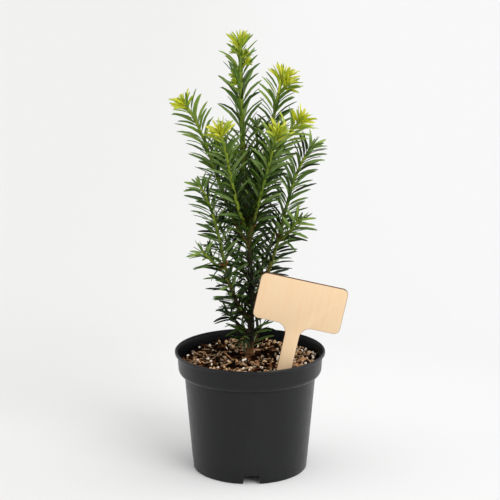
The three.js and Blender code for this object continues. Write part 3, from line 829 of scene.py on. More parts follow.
def tone_of(youngest, fresh, place, number):
    """Tone numbers: the youngest at the tips, then fresh, then old ones that darken downwards and
    towards the trunk, partly with their age and partly as painted shade in the lower and inner crown."""
    draw = jitter(number + 0.9)
    from_axis, height = np.hypot(place[:, 0], place[:, 1]), place[:, 2]
    # Painted shade: the deep and dark tones grow likelier low down and at the foot, and take over near the
    # trunk in the lower crown, where the inside of the crown lies in shade; they are a little likelier near
    # the top as well.
    low, high, foot = between(250, 170, height), between(280, 320, height), between(145, 125, height)
    inner = (1 - between(10, 36, from_axis)) * (1 - between(200, 270, height))

    def likely(usual, added_low, added_high, added_foot, inside):
        return mix(usual + added_low * low + added_high * high + added_foot * foot, inside, inner)

    deep, dark = likely(0.05, 0.22, 0.07, 0.3, 0.75), likely(0.36, 0.26, 0.14, 0.3, 1)
    old = np.where(draw < deep, TONE["deep"], np.where(draw < dark, TONE["dark"], TONE["middle"]))
    tone = np.where(draw < fresh, TONE["fresh"], np.where(draw < fresh * 1.8, TONE["middle"], old))
    young = np.where(draw < youngest * 0.75, TONE["gold"], TONE["lime"])
    return np.where(draw < youngest * 1.6, young, tone)


def ordinary_needles(stem, needle):
    """The needles along a stem, shorter and closer to it near a growing tip."""
    kind, upright, spacing = GROWTH[stem.growth], stem.upright, stem.spacing
    rows = np.arange(stem.first + spacing, stem.end - END_BARE * MM, spacing)
    number = stem.seed + np.arange(len(rows))
    rows = rows + spacing * 0.3 * (jitter(number + 0.2) - 0.5)
    to_tip = stem.end - rows
    place = stem.path.frames(rows)[0]
    height = place[:, 2]

    young = smooth(needle.young_reach, 0, to_tip) * stem.has_tip
    spread = 1 + needle.spread * (jitter(number) - 0.5)
    size = needle.needle_length * spread * mix(1, needle.young_share, young)
    width = needle.width * (0.85 + 0.3 * jitter(number + 0.7)) * mix(0.75, 1, size / needle.needle_length)
    size = size * kind.size
    if upright:
        size = size * mix(*LEADER_SIZES, between(300, 370, height))

    droop_foot, droop_tip = (k * needle.old_droop * (1 - between(130, 270, height)) for k in DROOP_SHARES)
    close_foot, close_tip = (1 - k * upright for k in LEADER_CLOSE)
    loose = 1 + LEADER_LOOSE * upright
    base = needle.base_angle + needle.base_spread * loose * (jitter(number + 0.3) - 0.5) + droop_foot
    outer = needle.outer_angle + needle.outer_spread * loose * (jitter(number + 0.6) - 0.5)
    outer = outer - needle.young_close * young
    base, outer = base * close_foot, outer * close_tip + droop_tip

    youngest = np.clip(1.2 - to_tip / MM / max(kind.young, 0.1), 0, 1) * (kind.young > 0) * stem.has_tip
    fresh = np.clip(1.1 - to_tip / MM / kind.fresh, 0, 1) * stem.has_tip
    tone = tone_of(youngest, fresh, place, number)
    if not stem.has_tip:
        tone = np.maximum(tone, TONE["dark"])
    comb = (1 - 2.5 * upright) * between(170, 220, height) * stem.has_tip
    return blades_on(stem.path, rows, number, base, outer, size, width, needle.thickness, tone, needle, comb)


def tip_needles(stem, needle):
    """The crowded young needles at a stem's tip, the last of them folded over the bud."""
    kind = GROWTH[stem.growth]
    rank = np.arange(kind.crowd) / (kind.crowd - 1)
    number = stem.seed + TUFT_SEED + np.arange(kind.crowd)
    distance = stem.end - mix(*TUFT["back"], rank**0.8) * MM
    size = mix(*TUFT["length"], rank) * (0.85 + 0.3 * jitter(number)) * MM * kind.tuft
    close = 1 - LEADER_CLOSE[0] * stem.upright
    base = np.radians(mix(*TUFT["base"], rank**1.4) + 10 * (jitter(number + 0.3) - 0.5)) * close
    outer = np.radians(mix(*TUFT["outer"], rank**1.4) + 18 * (jitter(number + 0.6) - 0.5)) * close
    width, thickness = needle.width * mix(1, 0.8, rank), needle.thickness * 0.85
    younger, older = (TONE[name] for name in kind.tones)
    tone = np.where(jitter(number + 0.5) < mix(*kind.youth, rank), younger, older)
    tuft = blades_on(stem.path, distance, number, base, outer, size, width, thickness, tone, needle)
    return replace(tuft, twist=tuft.twist * 1.35)


def bud_scales(path, distance, seed, needle, scales):
    """A collar of dry scales left by an old bud."""
    how_many, size = scales
    number = seed + np.arange(how_many)
    rows = distance + mix(-1.2, 1.2, np.arange(how_many) / how_many) * MM
    size = size * (0.8 + 0.4 * jitter(number)) * MM
    base = np.radians(18 + 14 * jitter(number + 0.3))
    outer = np.radians(48 + 40 * jitter(number + 0.6))
    width, thickness = 1.7 * MM, 0.35 * MM
    return blades_on(path, rows, number, base, outer, size, width, thickness, TONE["scale"], needle)


def side_bud(trunk, height, compass, yellow, seed, needle):
    """A small young side bud on the leader, with scales round its foot."""
    start = trunk.frames(trunk.at_height(height * MM))[0][0]
    path = side_path(start, compass, *SIDE_BUD_STALK, lambda along, d: mix(1, 0.6, along) * MM)
    rank = np.arange(SIDE_BUD_CROWD) / (SIDE_BUD_CROWD - 1)
    number = seed + np.arange(SIDE_BUD_CROWD)
    distance = path.length - mix(*SIDE_BUD["back"], rank) * MM
    size = mix(*SIDE_BUD["length"], rank) * (0.8 + 0.4 * jitter(number)) * MM
    base, outer = (np.radians(mix(*SIDE_BUD[key], rank)) for key in ("base", "outer"))
    draw = jitter(number + 0.5)
    tone = np.where(draw < yellow, TONE["gold"], np.where(draw < 0.7 + yellow, TONE["lime"], TONE["fresh"]))
    width, thickness = needle.width * mix(0.85, 0.7, rank), needle.thickness * 0.75
    young = blades_on(path, distance, number, base, outer, size, width, thickness, tone, needle)
    scales = bud_scales(path, 1.2 * MM, seed + 40, needle, SIDE_BUD_SCALES)
    return path, Blades.joined([young, scales])


def clear_of_everything(blades, paths, needle, mixture, label):
    """Which blades stay above the mix, in the part's space, and off every limb and the label."""
    places, _, _ = blades.spine()
    probes = places[:, FREE_FROM:]
    x, y, z = (probes[..., k] for k in range(3))
    above, aside, in_front, slack = 1.2 * MM, 1 * MM, 0.8 * MM, 2 * MM
    above_mix = (np.hypot(x, y) > mixture.radius + above) | (z > surface_height(mixture, x, y) + above)

    low, high = (np.array(corner) for corner in CAD_BOX)
    in_space = ((probes > low - slack) & (probes < high + slack)).all(axis=2)

    to_label = np.array(label_matrix(label).inverted())
    across, through, up = (probes @ to_label[k, :3] + to_label[k, 3] for k in range(3))
    board = (np.abs(across) < label.width / 2 + aside) & (np.abs(up) < label.height / 2 + aside)
    post = (np.abs(across + label.stem_offset) < label.stem_width / 2 + aside) & (up < 0)
    off_label = ~((board | post) & (np.abs(through) < label.thickness / 2 + in_front))
    keep = (above_mix & in_space & off_label).all(axis=1)

    for path in paths:
        along = np.linspace(0, path.length, LIMB_SPOTS)
        spots = path.frames(along)[0]
        limits = path.radius(along) + needle.clearance
        for station in range(probes.shape[1]):
            gap = np.linalg.norm(probes[:, station, None] - spots[None], axis=2)
            keep &= (gap > limits).all(axis=1)
    return keep


# ---------------------------------------------------------------- materials


def feed(tree, socket, value):
    """Links an input to a socket, or sets it to a value."""
    if isinstance(value, bpy.types.NodeSocket):
        tree.links.new(value, socket)
    else:
        socket.default_value = value


def add_node(tree, kind, inputs=(), **values):
    """A shader node with its own values set first and then its inputs fed; returns its outputs."""
    node = tree.nodes.new("ShaderNode" + kind)
    for key, value in values.items():
        setattr(node, key, value)
    for key, value in dict(inputs).items():
        feed(tree, node.inputs[key], value)
    return node.outputs


def mottle_group():
    """Two colours mixed by a patchy pattern, with the pattern itself as a value."""
    name = "Yew mottle"
    if name in bpy.data.node_groups:
        return bpy.data.node_groups[name]
    group = bpy.data.node_groups.new(name, "ShaderNodeTree")
    inputs = {
        "Vector": "Vector", "Stretch": "Vector", "Scale": "Float", "Low": "Float", "High": "Float",
        "Colour A": "Color", "Colour B": "Color",
    }
    for way, sockets in (("INPUT", inputs), ("OUTPUT", {"Color": "Color", "Value": "Float"})):
        for socket, kind in sockets.items():
            group.interface.new_socket(name=socket, in_out=way, socket_type="NodeSocket" + kind)
    given = group.nodes.new("NodeGroupInput").outputs
    result = group.nodes.new("NodeGroupOutput").inputs
    place = add_node(group, "VectorMath", {0: given["Vector"], 1: given["Stretch"]}, operation="MULTIPLY")
    pattern = {"Vector": place["Vector"], "Scale": given["Scale"], "Detail": 5, "Roughness": 0.6}
    value = add_node(group, "TexNoise", pattern)["Fac"]
    value = add_node(group, "MapRange", {"Value": value, "From Min": given["Low"], "From Max": given["High"]})
    value = value["Result"]
    tones = {"Factor": value, "A": given["Colour A"], "B": given["Colour B"]}
    feed(group, result["Color"], add_node(group, "Mix", tones, data_type="RGBA")["Result"])
    feed(group, result["Value"], value)
    return group


def principled(name, roughness, specular=0.5):
    """A new material, its node tree, its shader's inputs and its Object coordinates."""
    material = bpy.data.materials.new(name)
    material.use_nodes = True
    tree = material.node_tree
    shader = tree.nodes["Principled BSDF"].inputs
    shader["Roughness"].default_value = roughness
    shader["Specular IOR Level"].default_value = specular
    return material, tree, shader, add_node(tree, "TexCoord")["Object"]


def add_mottle(tree, coordinates, scale, first, second, low=0.35, high=0.65, stretch=(1, 1, 1)):
    """The mottle group with its values set."""
    values = {
        "Vector": coordinates, "Scale": scale, "Stretch": stretch, "Low": low, "High": high,
        "Colour A": first, "Colour B": second,
    }
    return add_node(tree, "Group", values, node_tree=mottle_group())


def add_bump(tree, shader, height, strength, millimetres):
    values = {"Height": height, "Strength": strength, "Distance": millimetres * MM}
    feed(tree, shader["Normal"], add_node(tree, "Bump", values)["Normal"])


def add_range(tree, value, low, high):
    """A value from 0 to 1 spread over another range."""
    return add_node(tree, "MapRange", {"Value": value, "To Min": low, "To Max": high})["Result"]


def add_product(tree, factor, first, second):
    """The first colour, multiplied by the second one by a share."""
    values = {"Factor": factor, "A": first, "B": second}
    return add_node(tree, "Mix", values, data_type="RGBA", blend_type="MULTIPLY")["Result"]


def mottled_material(
    name, first, second, roughness, scale, specular, spread=(0.35, 0.65), stretch=(1, 1, 1), bump=()
):
    """A finish with two mingled tones, and with a relief where its strength and height are given."""
    material, tree, shader, coordinates = principled(name, roughness, specular)
    tone = add_mottle(tree, coordinates, scale, first, second, *spread, stretch)
    feed(tree, shader["Base Color"], tone["Color"])
    if bump:
        add_bump(tree, shader, tone["Value"], *bump)
    return material


def shaded(tone, factor):
    """A colour made lighter or darker."""
    return (*(min(1, c * factor) for c in tone[:3]), 1)


def needle_materials(needle):
    """One material for the upper and one for the lower side of each tone, in the tones' order."""
    made = []
    for tone in NEEDLE_TONES:
        gloss = 0.7 if tone == "scale" else 0.34
        for key, roughness, darker, paler in ((tone, gloss, 0.8, 1.25), (tone + "_under", 0.5, 0.9, 1.1)):
            name = key.replace(tone, tone + "_needle")
            first, second = (shaded(getattr(needle, key), factor) for factor in (darker, paler))
            made.append(mottled_material(name, first, second, roughness, 180, 0.2))
    return made


# ---------------------------------------------------------------- pot


def body_radius(pot, height):
    """Radius of the tapering body at a height."""
    return mix(pot.foot, pot.shoulder, height / pot.shoulder_height)


def lip_inside(pot):
    """Inner radius of the lip, which is half as thick again as the wall."""
    return pot.lip_radius - pot.wall * 1.5


def underside_arc(pot, inset, steps):
    """The curve of the collar's underside, inset from the surface, from the top down."""
    radius = pot.underside_radius - inset
    centre = pot.collar - pot.underside_radius
    turns = [pot.underside_sweep * i / steps for i in range(steps + 1)]
    return [(centre + radius * math.cos(a), pot.underside_top - radius * math.sin(a)) for a in turns]


def pot_outside(pot):
    lip_under = pot.height - pot.lip_height
    return [
        (0, 0),
        (pot.centre_foot, 0),
        (pot.centre_foot + pot.arch_slope, pot.arch),
        (pot.foot - pot.foot_width - pot.arch_slope, pot.arch),
        (pot.foot - pot.foot_width, 0),
        (pot.foot, 0),
        (body_radius(pot, pot.step_height) - pot.step, pot.step_height),
        (body_radius(pot, pot.step_height), pot.step_height + pot.step),
        (pot.shoulder, pot.shoulder_height),
        *reversed(underside_arc(pot, 0, 10)),
        (pot.collar_top, lip_under),
        (pot.lip_radius, lip_under + pot.lip_bevel),
        (pot.lip_radius, pot.height),
    ]


def pot_inside(pot):
    side = pot.wall
    ring = pot.foot - pot.foot_width
    return [
        (lip_inside(pot), pot.height),
        (pot.collar_top - side, pot.height - pot.lip_height),
        *underside_arc(pot, side, 10),
        (pot.shoulder - side, pot.shoulder_height + side),
        (pot.foot - side, side),
        (ring + side, side),
        (ring - pot.arch_slope + side, pot.arch + side),
        (pot.centre_foot + pot.arch_slope - side, pot.arch + side),
        (pot.centre_foot - side, side),
        (0, side),
    ]


def notch_cutter(pot):
    """Wedges that run out through the foot ring, as one object for the cut."""
    bm = bmesh.new()
    inner = pot.foot - pot.foot_width - 2 * MM
    depth = pot.foot + 2 * MM - inner
    for index in range(pot.notches):
        made = bmesh.ops.create_cube(bm, size=1)["verts"]
        bmesh.ops.scale(bm, verts=made, vec=(depth, pot.notch_width, pot.arch * 2))
        top = [v for v in made if v.co.z > 0]
        bmesh.ops.scale(bm, verts=top, vec=(1, 1 - 2 * pot.notch_slope / pot.notch_width, 1))
        bmesh.ops.translate(bm, verts=made, vec=(inner + depth / 2, 0, 0))
        turn = pot.notch_turn + index * 2 * math.pi / pot.notches
        bmesh.ops.rotate(bm, verts=made, matrix=Matrix.Rotation(turn, 3, "Z"))
    return add_object("notch_cutter", plain_mesh("notch_cutter", bm))


def pot_material(pot, name, specular):
    """Satin black plastic with fine grain, and paler where it is rubbed."""
    material, tree, shader, coordinates = principled(name, 0.42, specular)
    tones = pot.plastic, pot.scuffed
    rubbed = add_mottle(tree, coordinates, 60, *tones, 0.45, 0.8, (1, 1, 0.35))
    feed(tree, shader["Base Color"], rubbed["Color"])
    wear = add_mottle(tree, coordinates, 240, *tones, 0.3, 0.75, (1, 1, 0.4))
    feed(tree, shader["Roughness"], add_range(tree, wear["Value"], 0.3, 0.42))
    add_bump(tree, shader, add_mottle(tree, coordinates, 1500, *tones)["Value"], 0.25, 0.05)
    return material


def pot_blank(pot):
    """The turned pot with its edges rounded, as an object that the notches are cut from."""
    bm = bmesh.new()
    turned(bm, pot_outside(pot) + pot_inside(pot), pot.segments)
    # Radius and height of each rounded edge, how far it is rounded, and in how many steps.
    rounded = (
        (pot.lip_radius, pot.height, 0.9, 4),
        (lip_inside(pot), pot.height, 0.7, 3),
        (pot.lip_radius, pot.height - pot.lip_height + pot.lip_bevel, 0.8, 3),
        (pot.foot, 0, 0.9, 3),
        (pot.foot - pot.foot_width, 0, 0.5, 2),
    )
    for radius, height, offset, steps in rounded:
        edges = ring_edges(bm, radius, height)
        if not edges:
            raise RuntimeError("the pot has no ring where its edge is rounded")
        bmesh.ops.bevel(
            bm, geom=edges, offset=offset * MM, segments=steps, profile=0.5, affect="EDGES", material=-1
        )
    return add_object("pot_blank", plain_mesh("pot_blank", bm))


class YEW_OT_pot(bpy.types.Operator):
    """Turns the nursery pot and cuts its drain notches"""

    bl_idname = "yew.pot"
    bl_label = "Nursery pot"

    def execute(self, context):
        pot = context.scene.yew_pot
        blank, cutter = pot_blank(pot), notch_cutter(pot)
        cut = blank.modifiers.new("Drain notches", "BOOLEAN")
        cut.object = cutter
        cut.solver = "EXACT"
        whole = bpy.data.meshes.new_from_object(blank.evaluated_get(context.evaluated_depsgraph_get()))
        whole.name = "nursery_pot"
        for used in (blank, cutter):
            bpy.data.objects.remove(used)
        shade(whole, 28)
        # Painted shade: the inward faces above the shoulder, inside the rim, take a plastic with a much
        # weaker reflection, so that they stay dark.
        for face in whole.polygons:
            inward = face.normal.x * face.center.x + face.normal.y * face.center.y < 0
            face.material_index = 1 if inward and face.center.z > pot.shoulder_height else 0
        materials = [pot_material(pot, "black_plastic", 0.32), pot_material(pot, "damp_plastic", 0.06)]
        new_piece("nursery_pot", whole, materials, ["pot"])
        return {"FINISHED"}


# ---------------------------------------------------------------- potting mix


def surface_height(mixture, x, y):
    """Height of the mix's surface, less its crumbs, with waves 27, 33 and 57 mm long."""
    fall = (mixture.centre - mixture.wall_level) * (np.hypot(x, y) / mixture.radius) ** 2
    turn = 2 * math.pi / MM
    lumps = np.sin(turn * x / 27 + 1) * np.cos(turn * y / 33)
    ripple = 0.6 * np.sin(turn * (x - 3 * y) / 57)
    return mixture.centre - fall + mixture.lump * (lumps + ripple)


def crumbled(mixture, x, y):
    """Height of the surface with its finer lumps, at one place; they are lower near the wall."""
    coarse, fine = noise.noise(Vector((x, y, 0)) * 130), noise.noise(Vector((x, y, 5)) * 420)
    ease = 1 - smooth(0.88, 1, math.hypot(x, y) / mixture.radius) * 0.6
    return float(surface_height(mixture, x, y)) + mixture.crumble * ease * (0.85 * coarse + 0.4 * fine)


def hollow(x, y):
    """How much of the loose bits is missing at a place, in the dark patches that stand as painted shade for
    hollows of the surface.
    """
    return max(math.exp(-((((x - cx) / rx) ** 2 + ((y - cy) / ry) ** 2) ** 2)) for cx, cy, rx, ry in HOLLOWS)


def keep_out_of(label):
    """A test for places where the trunk or the label's stem stands."""
    to_label = label_matrix(label).inverted()

    def inside(x, y):
        local = to_label @ Vector((x, y, 96 * MM))
        aside = abs(local.x + label.stem_offset)
        on_label = aside < label.stem_width / 2 + 1.5 * MM and abs(local.y) < 3.2 * MM
        return on_label or math.hypot(x, y - TRUNK_AXIS[0][1] * MM) < 5.5 * MM

    return inside


def scattered_places(mixture, how_many, seed, wanted, keep_out, margin):
    """Places on the surface, more of them where `wanted` is high, off the stem and the label."""
    places, number = [], seed
    while len(places) < how_many:
        r = (mixture.radius - margin * MM) * math.sqrt(jitter(number + 0.13))
        a = 2 * math.pi * jitter(number + 0.57)
        x, y = r * math.cos(a), r * math.sin(a)
        chance = wanted(x / MM, y / MM) * (1 - 0.9 * hollow(x / MM, y / MM))
        if jitter(number + 0.83) < chance and not keep_out(x, y):
            places.append((x, y, crumbled(mixture, x, y)))
        number += 1
    return np.array(places)


def ball(subdivisions):
    """Points and faces of the rough ball that many bits are made from."""
    bm = bmesh.new()
    bmesh.ops.create_icosphere(bm, subdivisions=subdivisions, radius=0.5)
    points = np.array([v.co[:] for v in bm.verts])
    faces = [tuple(v.index for v in f.verts) for f in bm.faces]
    bm.free()
    return points, faces


def turns(how_many, seed, tilt):
    """Rotation matrices: any turn about Z, and a tilt up to the given angle about two level axes."""
    numbers = seed + np.arange(how_many)
    spin = 2 * math.pi * jitter(numbers + 0.11)
    lean, roll = (tilt * (2 * jitter(numbers + draw) - 1) for draw in (0.37, 0.61))
    made = [
        Matrix.Rotation(a, 3, "Z") @ Matrix.Rotation(b, 3, "Y") @ Matrix.Rotation(c, 3, "X")
        for a, b, c in zip(spin, lean, roll)
    ]
    return np.array([[list(row) for row in matrix] for matrix in made])


def size_rows(how_many, seed, smallest, largest):
    """Three side lengths for each bit, in metres, between the smallest and the largest."""
    draw = np.stack([jitter(seed + np.arange(how_many) + k) for k in (0.21, 0.43, 0.77)], axis=1)
    return mix(np.array(smallest), np.array(largest), draw**1.4) * MM


def dealt(how_many, seed, weights):
    """Material numbers of the mix's tones, dealt out by weight."""
    draw = jitter(seed + np.arange(how_many) + 0.29)
    picked = np.searchsorted(np.cumsum(list(weights.values())) / sum(weights.values()), draw)
    numbers = np.array([list(MIX_TONES).index(name) for name in weights])
    return numbers[np.clip(picked, 0, len(weights) - 1)]


@dataclass
class Bits:
    """A kind of loose bit: how fine a ball it is made from, its seed, how wanted it is at a place in
    millimetres, its smallest and largest sides, how far it tilts, how dented it is, the weights of
    its tones, and how far it stands out of the surface, as a share of its height."""

    fineness: int
    seed: int
    wanted: object
    smallest: tuple
    largest: tuple
    tilt: float
    dents: float
    weights: dict
    lift: float

    def mesh(self, name, how_many, mixture, keep_out):
        """Rough copies of the ball, each scaled, dented, turned and placed."""
        points, faces = ball(self.fineness)
        places = scattered_places(mixture, how_many, self.seed, self.wanted, keep_out, 0.6 * self.largest[0])
        sizes = size_rows(how_many, self.seed, self.smallest, self.largest)
        places[:, 2] += self.lift * sizes[:, 2]
        per = len(points)
        chance = jitter(self.seed + np.arange(how_many * per)).reshape(how_many, per, 1)
        local = points[None] * sizes[:, None, :] * (1 + self.dents * (chance - 0.5) * 2)
        axes = turns(how_many, self.seed, self.tilt)
        world = np.einsum("nij,npj->npi", axes, local) + places[:, None, :]
        tones = np.repeat(dealt(how_many, self.seed, self.weights), len(faces))
        return joined_mesh(name, world.reshape(-1, 3), repeated(faces, per, how_many), tones, 35)


KINDS_OF_BITS = {
    "peat_crumbs": Bits(
        1, CRUMBS_SEED, lambda x, y: 1.0, (1, 1, 0.8), (4.2, 3.4, 2.6), 1.2, 0.35,
        {"peat": 5, "peat_dry": 3, "bark_dark": 2}, 0.2,
    ),
    "bark_chips": Bits(
        2, CHIPS_SEED, lambda x, y: 0.9 if y < -4 else 0.45, (2.2, 1, 0.6), (10, 4, 2), 0.55, 0.34,
        {"peat": 3, "bark_dark": 3, "bark_red": 3, "bark_tan": 2}, 0.6,
    ),
    "pale_grains": Bits(
        2, GRAINS_SEED, lambda x, y: 0.9 if x > 22 or y < -34 else 0.2, (1.3, 1.2, 1.1), (4.3, 3.7, 3.2),
        1.2, 0.22, {"grain_white": 4, "grain_cream": 4, "grain_grey": 2}, 0.55,
    ),
}


def fibres(mixture, keep_out):
    """Loose bent fibres, most of them lying, some standing up a little."""
    how_many = mixture.fibres
    number = FIBRES_SEED + np.arange(how_many)

    def wanted(x, y):
        return 0.9 if x < 20 else 0.4

    places = scattered_places(mixture, how_many, FIBRE_PLACES_SEED, wanted, keep_out, 3)
    places[:, 2] += 0.9 * MM
    heading = 2 * math.pi * jitter(number + 0.3)
    lift = np.radians(mix(-6, 34, jitter(number + 0.6) ** 2))
    level = np.cos(lift)
    axis = np.stack([np.cos(heading) * level, np.sin(heading) * level, np.sin(lift)], axis=1)
    bend = np.radians(mix(-35, 20, jitter(number + 0.4)))
    blades = Blades(
        root=places,
        axis=axis,
        outward=unit(np.cross(axis, np.cross(np.array([0, 0, 1.0]), axis))),
        base=-0.3 * bend,
        outer=bend,
        sway=2.5 * (jitter(number + 0.5) - 0.5),
        twist=3 * (jitter(number + 0.2) - 0.5),
        size=mix(4, 17, jitter(number + 0.1) ** 1.5) * MM,
        width=mix(0.5, 1.25, jitter(number + 0.8)) * MM,
        thickness=mix(0.35, 0.6, jitter(number + 0.7)) * MM,
        tone=dealt(how_many, FIBRES_SEED, {"fibre": 5, "fibre_dark": 2, "bark_tan": 2}),
    )
    spots = next(blades.spine())
    blades = blades.chosen((np.hypot(spots[..., 0], spots[..., 1]) < mixture.radius - 1 * MM).all(axis=1))
    points, faces, tones = blades.mesh(blades.tone)
    return joined_mesh("fibres", points, faces, tones // 2)


def mix_body(mixture, pot):
    """The filled inside of the pot, with a crumbled top."""
    bm = bmesh.new()
    rings = 64
    gap = 0.4 * MM
    floor = pot.arch + pot.wall + gap
    top = [(mixture.radius * i / rings, mixture.wall_level) for i in range(rings + 1)]
    shoulder = (pot.shoulder - pot.wall - gap, pot.shoulder_height)
    turned(bm, [*top, shoulder, (body_radius(pot, floor) - 2 * MM, floor), (0, floor)], 200)
    for v in bm.verts:
        if v.co.z > mixture.wall_level - NEAR:
            v.co.z = crumbled(mixture, v.co.x, v.co.y)
    return finished_mesh("potting_mix", bm, 60)


def mix_materials(mixture):
    """The materials of the mix's tones, in their order."""
    made = []
    for name, (_, _, other, roughness) in MIX_TONES.items():
        tones = getattr(mixture, name), getattr(mixture, other)
        made.append(mottled_material(name, *tones, roughness, 500, 0.03, (0.4, 0.75), bump=(0.5, 0.25)))
    return made


class YEW_OT_mix(bpy.types.Operator):
    """Fills the pot and scatters crumbs, chips, fibres and grains on the surface"""

    bl_idname = "yew.mix"
    bl_label = "Potting mix"

    def execute(self, context):
        scene = context.scene
        mixture, slot = scene.yew_mix, "peat_and_bark"
        materials = mix_materials(mixture)
        # The body takes the near-black peat tone: the peat's own dark colour and painted shade in the gaps
        # between the loose bits.
        new_piece("mix_body", mix_body(mixture, scene.yew_pot), [materials[0]], ["potting_mix"])

        keep_out = keep_out_of(scene.yew_label)
        how_many = {"peat_crumbs": mixture.crumbs, "bark_chips": mixture.chips, "pale_grains": mixture.grains}
        for name, kind in KINDS_OF_BITS.items():
            mesh = kind.mesh(name, how_many[name], mixture, keep_out)
            new_piece(name, mesh, materials)
        new_piece("fibres", fibres(mixture, keep_out), materials)
        return {"FINISHED"}


# ---------------------------------------------------------------- label


def label_matrix(label):
    """Where the board's centre goes, with its face to -Y and its lean."""
    low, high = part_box("plant_label")
    half = Vector((label.width / 2, 0, label.height / 2))
    cos, sin = math.cos(label.lean), math.sin(label.lean)
    reach_up = half.x * sin + half.z * cos - label.corner * (sin + cos - 1)
    reach_right = half.x * cos + half.z * sin - label.corner * (sin + cos - 1)
    centre = Vector((high.x - reach_right, (low.y + high.y) / 2, high.z - reach_up))
    return Matrix.Translation(centre) @ Matrix.Rotation(label.lean, 4, "Y")


def corner_bevel(bm, places, radius, segments):
    """Rounds the corners of a flat outline that stand at given places."""
    corners = [v for v in bm.verts if any((v.co - Vector(p)).length < NEAR for p in places)]
    if len(corners) != len(places):
        raise RuntimeError("a corner of the label's outline is missing")
    bmesh.ops.bevel(
        bm, geom=corners, offset=radius, segments=segments, profile=0.5, affect="VERTICES", material=-1
    )


def plywood_material(label):
    """Pale veneer with faint upright grain and warm patches."""
    material, tree, shader, coordinates = principled("birch_face", 0.62, 0.3)
    turned_back = {"Vector": coordinates, "Rotation": (0, label.lean, 0)}
    along = add_node(tree, "Mapping", turned_back, vector_type="TEXTURE")["Vector"]
    grain = add_mottle(tree, along, 420, label.wood, label.grain, 0.42, 0.85, (1, 0.2, 0.07))
    patches = add_mottle(tree, along, 55, label.wood, label.warm, 0.5, 0.85, (1, 1, 0.45))
    feed(tree, shader["Base Color"], add_product(tree, 0.55, grain["Color"], patches["Color"]))
    add_bump(tree, shader, grain["Value"], 0.15, 0.05)
    return material


def charred_material(label):
    """The burnt cut edge, with its inner plies showing faintly."""
    layers = (0.3, 4, 0.3)
    return mottled_material(
        "charred_edge", label.charred, label.core, 0.75, 300, 0.3, (0.4, 0.8), layers, (0.3, 0.1)
    )


def label_outline(bm, label):
    """A flat face with the label's outline: the board, and under it the stem with its point."""
    w, h, s = label.width / 2, label.height / 2, label.stem_width / 2
    foot = -h - label.stem_length
    middle = -label.stem_offset
    left, right = middle - s, middle + s
    board = [(-w, 0, -h), (-w, 0, h), (w, 0, h), (w, 0, -h)]
    neck = [(right, 0, -h), (left, 0, -h)]
    stem = [(right, 0, foot + label.point), (middle, 0, foot), (left, 0, foot + label.point)]
    bm.faces.new([bm.verts.new(p) for p in [*board, neck[0], *stem, neck[1]]])
    corner_bevel(bm, board, label.corner, 8)
    corner_bevel(bm, neck, label.fillet, 8)
    corner_bevel(bm, [stem[1]], 1.5 * MM, 3)


def label_mesh(label):
    """The label with its thickness, its veneer on both faces and its cut edge slightly rounded."""
    bm = bmesh.new()
    label_outline(bm, label)
    bmesh.ops.translate(bm, verts=bm.verts, vec=(0, -label.thickness / 2, 0))
    made = bmesh.ops.extrude_face_region(bm, geom=list(bm.faces))["geom"]
    back = [v for v in made if isinstance(v, bmesh.types.BMVert)]
    bmesh.ops.translate(bm, verts=back, vec=(0, label.thickness, 0))
    bmesh.ops.recalc_face_normals(bm, faces=bm.faces)
    for face in bm.faces:
        face.material_index = 0 if abs(face.normal.y) > 0.9 else 1
    rims = [e for e in bm.edges if len({f.material_index for f in e.link_faces}) == 2]
    bmesh.ops.bevel(bm, geom=rims, offset=label.edge, segments=2, profile=0.5, affect="EDGES", material=1)
    bmesh.ops.transform(bm, matrix=label_matrix(label), verts=bm.verts)
    return finished_mesh("plywood_label", bm, 30)


class YEW_OT_label(bpy.types.Operator):
    """Cuts the bare plywood label with its pointed stem"""

    bl_idname = "yew.label"
    bl_label = "Plant label"

    def execute(self, context):
        label = context.scene.yew_label
        materials = [plywood_material(label), charred_material(label)]
        new_piece("plywood_label", label_mesh(label), materials, ["plant_label"])
        return {"FINISHED"}


# ---------------------------------------------------------------- bark

# Age of the trunk: added at its foot, on its old part, and lost over each stretch further up.
TRUNK_AGE = (0.3, 0.7, ((0.2, 0.28, 0.5), (0.22, 0.56, 0.74), (0.2, 0.76, 1)))
# Age of a stem: added at its foot, along most of it, and at its tip.
STEM_AGES = {"old": (0, 0.74, 0.45), "green": (0.3, 0.38, 0), "gold": (0.2, 0.12, 0)}
YOUNG_STEM_AGES = (0.25, 0.3, 0)
SMOOTH_ALL = 180  # degrees; no edge is sharper than this


def bark_material(stem):
    """Bark that runs from brown through olive to green by the age stored on the mesh."""
    material, tree, shader, coordinates = principled("bark", 0.7, 0.2)
    age = add_node(tree, "Attribute", attribute_name="age")["Fac"]
    ramp = tree.nodes.new("ShaderNodeValToRGB")
    tree.links.new(age, ramp.inputs["Fac"])
    stops = [(0, stem.lime), (0.3, stem.green), (0.52, stem.olive), (0.7, stem.bark), (1, stem.bark_light)]
    while len(ramp.color_ramp.elements) < len(stops):
        ramp.color_ramp.elements.new(0.5)
    for element, (place, tone) in zip(ramp.color_ramp.elements, stops):
        element.position = place
        element.color = tone
    pale, shade = (1, 1, 1, 1), (0.45, 0.42, 0.4, 1)
    flakes = add_mottle(tree, coordinates, 260, pale, shade, 0.4, 0.7, (1, 1, 0.3))
    rough = add_range(tree, age, 0.25, 0.9)
    feed(tree, shader["Base Color"], add_product(tree, rough, ramp.outputs["Color"], flakes["Color"]))
    add_bump(tree, shader, flakes["Value"], 0.6, 0.3)
    return material


def bark_relief(stem, ages, spiral):
    """A function that gives the radius's factor: ridges on young stems, plates on old bark."""

    def factor(point, distance, turn):
        ridges = np.cos(5 * turn + distance * spiral)
        plates = np.array([noise.noise(Vector((x * 420, y * 420, z * 150))) for x, y, z in point])
        return 1 + stem.relief * (mix(0.45 * ridges, plates, ages(distance)) + 0.3 * plates)

    return factor


